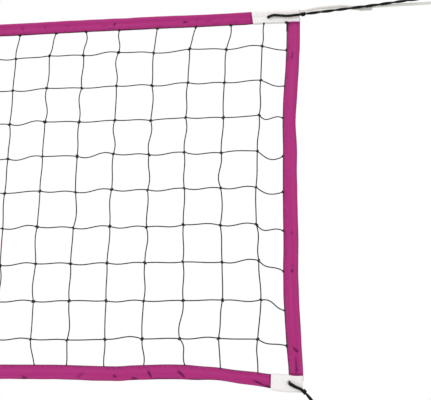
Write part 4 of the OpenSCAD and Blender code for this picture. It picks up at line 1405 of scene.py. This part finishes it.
class VOLLEYBALL_OT_net(PieceOperator, bpy.types.Operator):
    """Knot the mesh: its upright twines, its level twines and the knots where they meet"""

    bl_idname = "volleyball.net"
    bl_label = "Knotted net"

    def make(self, context):
        look = context.scene.net_settings
        net = Net()
        chance = random.Random(7)
        out = Vector((0, 1, 0))

        def run(cells):
            """One twine through its knots."""
            knots = [net.knot(i, j) for i, j in cells]
            points = []
            for (i, j), start, end in zip(cells, knots, knots[1:]):
                across = (end - start).cross(out).normalized()
                bow = chance.gauss(0, 0.55) * look.slack
                wave = chance.gauss(0, 0.45) * look.slack
                if cells[0][0] < 0:
                    side = math.copysign(1, i + 1 - look.columns / 2)
                    wave -= 0.5 * look.slack * side
                    if i < 0 or i == look.columns - 1:
                        bow, wave = (value * MM for value in TAPE_SPANS[j % len(TAPE_SPANS)])
                        wave *= side
                points += slack_twine(start, end, bow, wave, across)
            return points + [knots[-1]]

        columns, rows = range(look.columns), range(look.rows)
        uprights = [run([(i, j) for j in range(-1, look.rows + 1)]) for i in columns]
        levels = [run([(i, j) for i in range(-1, look.columns + 1)]) for j in rows]
        for name, runs, thickness, nodes in (
            ("net_uprights", uprights, look.twine, ("net_mesh",)),
            ("net_levels", levels, look.twine, ()),
            ("net_border", net.border(), look.border, ()),
        ):
            dress(name, twine_mesh(name, runs, thickness), "net_twine", nodes)
        lashings = [piece for side in SIDE_NAMES for piece in self.lashing(side, look.twine / 2)]
        dress("corner_lashings", joined("corner_lashings", lashings), "net_twine")
        sizes = {-1: TOP_KNOT, look.rows: BOTTOM_KNOT}
        knots = [(i, j, sizes.get(j, NET_KNOT)) for i in columns for j in range(-1, look.rows + 1)]
        knots += [(i, j, SIDE_KNOT) for j in rows for i in (-1, look.columns)]
        places = [self.knot_place(net.knot(i, j), chance, size) for i, j, size in knots]
        dress("net_knots", scattered("net_knots", knot_template(look.twine), places), "net_twine")

    def lashing(self, side, radius):
        """The knot below a top patch, and its twine whipped down the side tape's inner edge."""
        centre = in_metres((LASHING_KNOT,), side)[0]
        knot = coil(centre, Vector((side, 0, -0.3)).normalized(), *LASHING_COIL)
        wound = []
        for i in range(61):
            z = WHIPPED_FROM - WHIPPED_LENGTH * i / 60
            turn = 2 * math.pi * WHIPPED_TURNS * i / 60
            x = side_edges(z)[0] + 0.0006 + 0.0018 * math.cos(turn)
            wound.append(Vector((side * x, -(HALF_TAPE + 0.0012) * math.sin(turn), z)))
        runs = [evenly(points, KNOT_STEP) for points in (knot, wound)]
        return [rope_mesh("lashing", run, radius, PLAIN_TWINE) for run in runs]

    def knot_place(self, centre, chance, size):
        """A knot's place and turn."""
        spun = Matrix.Rotation(chance.uniform(0, math.pi), 4, "Y")
        tipped = Matrix.Rotation(chance.uniform(-0.4, 0.4), 4, "X")
        scale = Matrix.Scale(chance.uniform(0.95, 1.2) * size, 4)
        return Matrix.Translation(centre) @ spun @ tipped @ scale


class VOLLEYBALL_OT_tapes(PieceOperator, bpy.types.Operator):
    """Sew the tapes round the net: top with its hem, bottom, and one on each side"""

    bl_idname = "volleyball.tapes"
    bl_label = "Tapes"

    def make(self, context):
        step = context.scene.tape_settings.step
        creases = creases_for(TOP_CREASES, TOP_HIGH.x, 3)
        row = stations_between(TOP_LOW.x, TOP_HIGH.x - 0.001, step, creases[: len(TOP_CREASES)])
        cloth = Cloth(*TOP_CLOTH, creases)
        sew("top_tape", row, tape_outline(TOP_FACE, HEM_CLOTH_R), cloth, top_world, TOP_SEAMS)

        creases = creases_for(BOTTOM_CREASES, BOTTOM_HIGH.x, 5)
        row = stations_between(BOTTOM_LOW.x, BOTTOM_HIGH.x, step, creases[: len(BOTTOM_CREASES)])
        cloth = Cloth(*BOTTOM_CLOTH, creases)
        sew("bottom_tape", row, tape_outline(BOTTOM_FACE), cloth, bottom_world, SEAMS)

        ends, creases = (SIDE_LOW.z, SIDE_HIGH.z), creases_for(SIDE_CREASES)
        row = stations_between(*ends, step, creases)
        for side, name in SIDE_NAMES.items():
            cloth = Cloth(SIDE_W, 37 + side, ends, creases=creases)
            sew(f"{name}_side_tape", row, tape_outline(SIDE_W), cloth, side_world(side), SEAMS)


class VOLLEYBALL_OT_patches(PieceOperator, bpy.types.Operator):
    """Fold a white patch over each corner of the tapes and stitch it down"""

    bl_idname = "volleyball.patches"
    bl_label = "Corner patches"

    def make(self, context):
        top_ends, low_ends = (PATCH_LOW.x, PATCH_HIGH.x), (LOW_PATCH_LOW.x, LOW_PATCH_HIGH.x)
        for side, name in SIDE_NAMES.items():
            self.patch(
                f"top_{name}_patch", top_ends, HEM_CLOTH_R, TOP_LIPS, TOP_PATCH_SEAMS, TOP_PATCH_LEAN,
                Cloth(*TOP_CLOTH, plain=True, side=side), top_world,
            )
            self.patch(
                f"bottom_{name}_patch", low_ends, None, BOTTOM_LIPS, BOTTOM_PATCH_SEAMS, BOTTOM_PATCH_LEAN,
                Cloth(*BOTTOM_CLOTH, plain=True, side=side), bottom_world,
            )
            self.end_flap(side, name)

    def patch(self, name, ends, hem, lips, seams, slant, cloth, to_world):
        """A patch from end to end along the tape, with stitches along its seams and across its ends."""
        look = settings("tape_settings")
        start, end = ends
        rim = leaf(cloth.width, hem, VINYL_OUT, *lips)

        def world(along, across, out):
            """Sheared, so that the patch's inner edge slants."""
            lean = slant * (across / cloth.width - 0.5) * min(1.0, (end - along) / (end - start))
            return to_world(cloth.side * (along - lean), across, out)

        def face(across):
            """How far a stitch stands out there."""
            return read_off(rim, across)[0] + VINYL_STITCH

        outline = patch_outline(cloth.width, hem, *lips)
        row = stations_between(start, end, look.step / 2)
        mesh = tape_mesh(name + "_vinyl", row, outline, cloth, world)
        dress(name + "_vinyl", mesh, "corner_vinyl", (name,), smooth=60)
        row = stations_between(start + INNER_MARGIN, end - INNER_MARGIN, look.stitch)
        places = sewn_rows(row, [(across, face(across)) for across in seams], cloth, world)
        short = look.stitch * SHORT_STITCH
        row = stations_between(INNER_MARGIN, seams[1] - INNER_MARGIN, short)
        for along in (start + INNER_MARGIN, end - OUTER_MARGIN):
            for out in (-face(0.01), face(0.01)):
                lifts = [cloth.move(along, across, out)[1] for across in row]
                points = [world(along, across, out + lift) for across, lift in zip(row, lifts)]
                places += stitch_places(points, SHORT_STITCH)
        stitches = scattered(name + "_stitches", stitch_template(look.stitch), places)
        dress(name + "_stitches", stitches, "corner_vinyl", finish="vinyl_thread")

    def end_flap(self, side, name):
        """The bottom patch's end, wrapped round the tape's."""
        bm = bmesh.new()
        bmesh.ops.create_cube(bm, size=1)
        size = (0.0010, 2 * (HALF_TAPE + VINYL_OUT), BOTTOM_FACE - 0.001)
        bmesh.ops.scale(bm, verts=bm.verts, vec=size)
        bmesh.ops.bevel(
            bm, geom=bm.edges, offset=0.0004, segments=2, profile=0.5, affect="EDGES", material=-1
        )
        end = LOW_PATCH_HIGH.x
        bmesh.ops.translate(bm, verts=bm.verts, vec=(side * (end - 0.0006), 0, bottom_mid(end)))
        dress(f"bottom_{name}_patch_end", mesh_of(bm, "flap"), "corner_vinyl", smooth=35)


class VOLLEYBALL_OT_eyelets(PieceOperator, bpy.types.Operator):
    """Press a rolled eyelet into each corner"""

    bl_idname = "volleyball.eyelets"
    bl_label = "Eyelets"

    def make(self, context):
        half = [
            (4.25, 0), (4.25, 2.9), (4.45, 3.5), (4.9, 3.85), (5.5, 3.85), (6.1, 3.6), (6.4, 3.2),
            (6.3, 2.95), (5.0, 2.92), (5.0, 0),
        ]
        outline = half + [(radius, -height) for radius, height in reversed(half[1:-1])]
        ring = turned("eyelet", [(radius * MM, height * MM) for radius, height in outline], 40)
        upright = Matrix.Rotation(math.pi / 2, 4, "X")
        spots = [spot for side in SIDE_NAMES for spot in in_metres((TOP_STRAND[0], BOTTOM_STRAND[0]), side)]
        rings = scattered("corner_eyelets", ring, [Matrix.Translation(spot) @ upright for spot in spots])
        dress("corner_eyelets", rings, "nickel_eyelet", ("eyelets",), smooth=35)


class VOLLEYBALL_OT_hitches(PieceOperator, bpy.types.Operator):
    """Tie the ropes: through the eyelets at the net's corners, and round the pins on the poles"""

    bl_idname = "volleyball.hitches"
    bl_label = "Hitches"

    def make(self, context):
        radius = context.scene.rope_settings.cord / 2
        corners, poles = [], []
        for side in SIDE_NAMES:
            for strand, spread, route, (pin_x, pin_z) in (
                (TOP_STRAND, TOP_SPREAD, TOP_TIE_ROUTE, TIE_PIN),
                (BOTTOM_STRAND, BOTTOM_SPREAD, BOTTOM_TIE_ROUTE, BRACKET_PIN),
            ):
                points = in_metres(route, side)
                corners += self.corner(in_metres(strand, side), points[:2], radius, spread)
                pin = Vector((side * pin_x, points[-1].y, pin_z))
                poles += self.pole(*points[-2:], pin, radius)
        for place, cords in (("corner", corners), ("pole", poles)):
            mesh = joined(place + "_hitch_ropes", cords)
            dress(place + "_hitch_ropes", mesh, "tie_rope", (place + "_hitches",))

    def strand(self, points, radius):
        return rope_mesh("strand", evenly(points, KNOT_STEP), radius, CORD_BRAID)

    def corner(self, strand, route, radius, spread):
        """The stopper knot behind the eyelet, the doubled strand to the knot in front, and that knot."""
        eyelet, backwards = strand[0], Vector((0, 1, 0))
        behind = [eyelet + backwards * distance for distance in INNER_END]
        towards = (route[1] - route[0]).normalized()
        front = [strand[1] + backwards * 0.003, *strand[1:], route[0], route[0] + towards * 0.002]
        doubled = rope_mesh("strand", evenly(front, KNOT_STEP), radius, PAIR_BRAID, (*spread, None))
        return [
            self.strand(behind + strand[1:2], radius),
            doubled,
            self.strand(coil(strand[-1], towards, *FRONT_KNOT), radius * 1.05),
            self.strand(coil(eyelet + backwards * STOPPER_AT, backwards, *STOPPER_KNOT), radius),
        ]

    def pole(self, before, end, pin, radius):
        """The knot at the rope's end, its loop round the pin and a short tail."""
        towards, back = (pin - end).normalized(), (before - end).normalized()
        start = end + towards * 0.004
        angle = math.atan2(start.z - pin.z, start.x - pin.x)
        spread = math.acos(PIN_LOOP_R / (start - pin).length)
        turn = arc(pin, PIN_LOOP_R, angle + spread, angle - spread + 2 * math.pi, 20)
        loop = [start, *turn, start]
        shifted = [point + Vector((0, 0.0024 * (k / 22 - 0.5), 0)) for k, point in enumerate(loop)]
        tail = [
            start + Vector((0, -0.0035, 0)),
            start + back * 0.012 + Vector((0, -0.0052, -0.001)),
            start + back * 0.026 + Vector((0, -0.0055, -0.004)),
        ]
        knot = coil(start, towards, *POLE_KNOT)
        return [self.strand(points, radius) for points in ([end, *shifted], knot, tail)]


class VOLLEYBALL_OT_headline(PieceOperator, bpy.types.Operator):
    """Reeve the headline: an eye on the left pole, the hem, the head pulley and the winch drum"""

    bl_idname = "volleyball.headline"
    bl_label = "Headline"

    def make(self, context):
        look = context.scene.rope_settings
        radius = look.headline / 2
        hem = [Vector((TOP_LOW.x, 0, HEM_Z)), Vector((TOP_HIGH.x, 0, HEM_Z))]
        stations = evenly(self.eye(), look.step) + evenly(hem, 0.05)[1:-1]
        stations += evenly(self.fall(), look.step)
        mesh = rope_mesh("headline", stations, radius, HEADLINE_BRAID)
        dress("headline", mesh, "headline_rope", ("headline_rope", "headline_turns"))
        tail = evenly(in_metres(HEADLINE_TAIL), look.step)
        thin = rope_mesh("headline_tail", tail, look.tail / 2, TAIL_BRAID)
        dress("headline_tail", thin, "headline_rope")
        middle, half = (EYE_TAIL_Z + EYE_TOP_Z) / 2, (EYE_TOP_Z - EYE_TAIL_Z) / 2
        bindings = [(Vector((EYE.x + shift, 0, middle)), half) for shift in EYE_BINDINGS]
        bindings += [(Vector((x, -0.0004, 2.4310)), 0.0026) for x in TAIL_BINDINGS]
        wound = [
            rope_mesh("whipping", self.whipping(centre, radius, apart), THREAD_R, PLAIN_THREAD)
            for centre, apart in bindings
        ]
        mesh = joined("headline_whippings", wound)
        dress("headline_whippings", mesh, "headline_rope", finish="vinyl_thread")

    def eye(self):
        """The headline from its end, round the eye on the left pole and up to the hem."""
        tail = [Vector((EYE.x + x, 0, EYE_TAIL_Z)) for x in EYE_TAIL_XS]
        bight = arc(EYE, EYE_LOOP_R, math.radians(270), math.radians(90), 12)
        top = [Vector((EYE.x + x, 0, EYE_TOP_Z)) for x in EYE_TOP_XS]
        return tail + bight + top + [Vector((TOP_LOW.x - 0.002, 0, HEM_Z))]

    def fall(self):
        """The headline from the hem, over the head pulley and down to its turns on the drum."""
        over = arc(Vector((PULLEY.x, 0, PULLEY.z)), PULLEY_ROPE_R, math.radians(90), 0, 10)
        down_x = PULLEY.x + PULLEY_ROPE_R
        down = [Vector((down_x, 0, WINCH_Z + 0.6)), Vector((down_x, 0, WINCH_Z + TURN_LEAD))]
        drum_x = down_x + DRUM_ROPE_R
        turns = []
        for i in range(24 * DRUM_TURNS + 1):
            angle = math.pi + 2 * math.pi * i / 24
            across, height = DRUM_ROPE_R * math.cos(angle), DRUM_ROPE_R * math.sin(angle)
            turns.append(Vector((drum_x + across, -TURN_PITCH * i / 24, WINCH_Z + height)))
        tail = [turns[-1] - Vector((0, 0, drop)) for drop in (0.004, TURN_LEAD)]
        return in_metres(HEADLINE_RUN) + over + down + turns + tail

    def whipping(self, centre, radius, half):
        """A thread wound round two ropes that lie one above the other, half so far from the centre."""
        out = radius + THREAD_R
        points = []
        for i in range(24 * WHIPPING_TURNS + 1):
            angle = 2 * math.pi * (i + 0.5) / 24
            height = out * math.sin(angle) + math.copysign(half, math.sin(angle))
            along = THREAD_PITCH * (i / 24 - WHIPPING_TURNS / 2)
            points.append(centre + Vector((along, out * math.cos(angle), height)))
        return points


class VOLLEYBALL_OT_poles(PieceOperator, bpy.types.Operator):
    """Round the hard edges of the poles' metal and moulded parts, and finish every part left"""

    bl_idname = "volleyball.poles"
    bl_label = "Poles and bases"

    def make(self, context):
        for entry in frame["record"]["subparts"]:
            if not entry["node"].endswith(SOFT_NODES):
                self.finish(entry["node"], entry["material_slot"])

    def finish(self, node, slot):
        width = next((w for ending, w in ROUNDED.items() if node.endswith(ending)), None)
        if width is None:
            packed = frame["nodes"][node]
            packed.data.materials.clear()
            packed.data.materials.append(finish_for(slot))
        else:
            hardened(put(node + "_finished", refined(node, width), body_of(node), slot, (node,)).data)


PIECES = (
    VOLLEYBALL_OT_camera,
    VOLLEYBALL_OT_tie_ropes,
    VOLLEYBALL_OT_net,
    VOLLEYBALL_OT_tapes,
    VOLLEYBALL_OT_patches,
    VOLLEYBALL_OT_eyelets,
    VOLLEYBALL_OT_hitches,
    VOLLEYBALL_OT_headline,
    VOLLEYBALL_OT_poles,
    VOLLEYBALL_OT_stage,
)


class VOLLEYBALL_PT_panel(bpy.types.Panel):
    """The makers, in the order that they are used"""

    bl_idname = "VOLLEYBALL_PT_panel"
    bl_label = "Volleyball net"
    bl_space_type = "VIEW_3D"
    bl_region_type = "UI"
    bl_category = "Volleyball net"

    def draw(self, context):
        for piece in PIECES:
            self.layout.operator(piece.bl_idname)
        for name, group in GROUPS.items():
            box = self.layout.box()
            box.label(text=group.__doc__)
            for prop in group.__annotations__:
                box.prop(getattr(context.scene, name), prop)


CLASSES = (*GROUPS.values(), *PIECES, VOLLEYBALL_PT_panel)


def register():
    for each in CLASSES:
        bpy.utils.register_class(each)
    for name, group in GROUPS.items():
        setattr(bpy.types.Scene, name, PointerProperty(type=group))


def unregister():
    for name in GROUPS:
        delattr(bpy.types.Scene, name)
    for each in reversed(CLASSES):
        bpy.utils.unregister_class(each)


def main():
    register()
    for piece in PIECES:
        family, action = piece.bl_idname.split(".")
        getattr(getattr(bpy.ops, family), action)()
    boxes = {"cad": CAD_BOX, "visual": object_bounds()}
    {name: [list(corner) for corner in box] for name, box in boxes.items()}


if __name__ == "__main__":
    main()
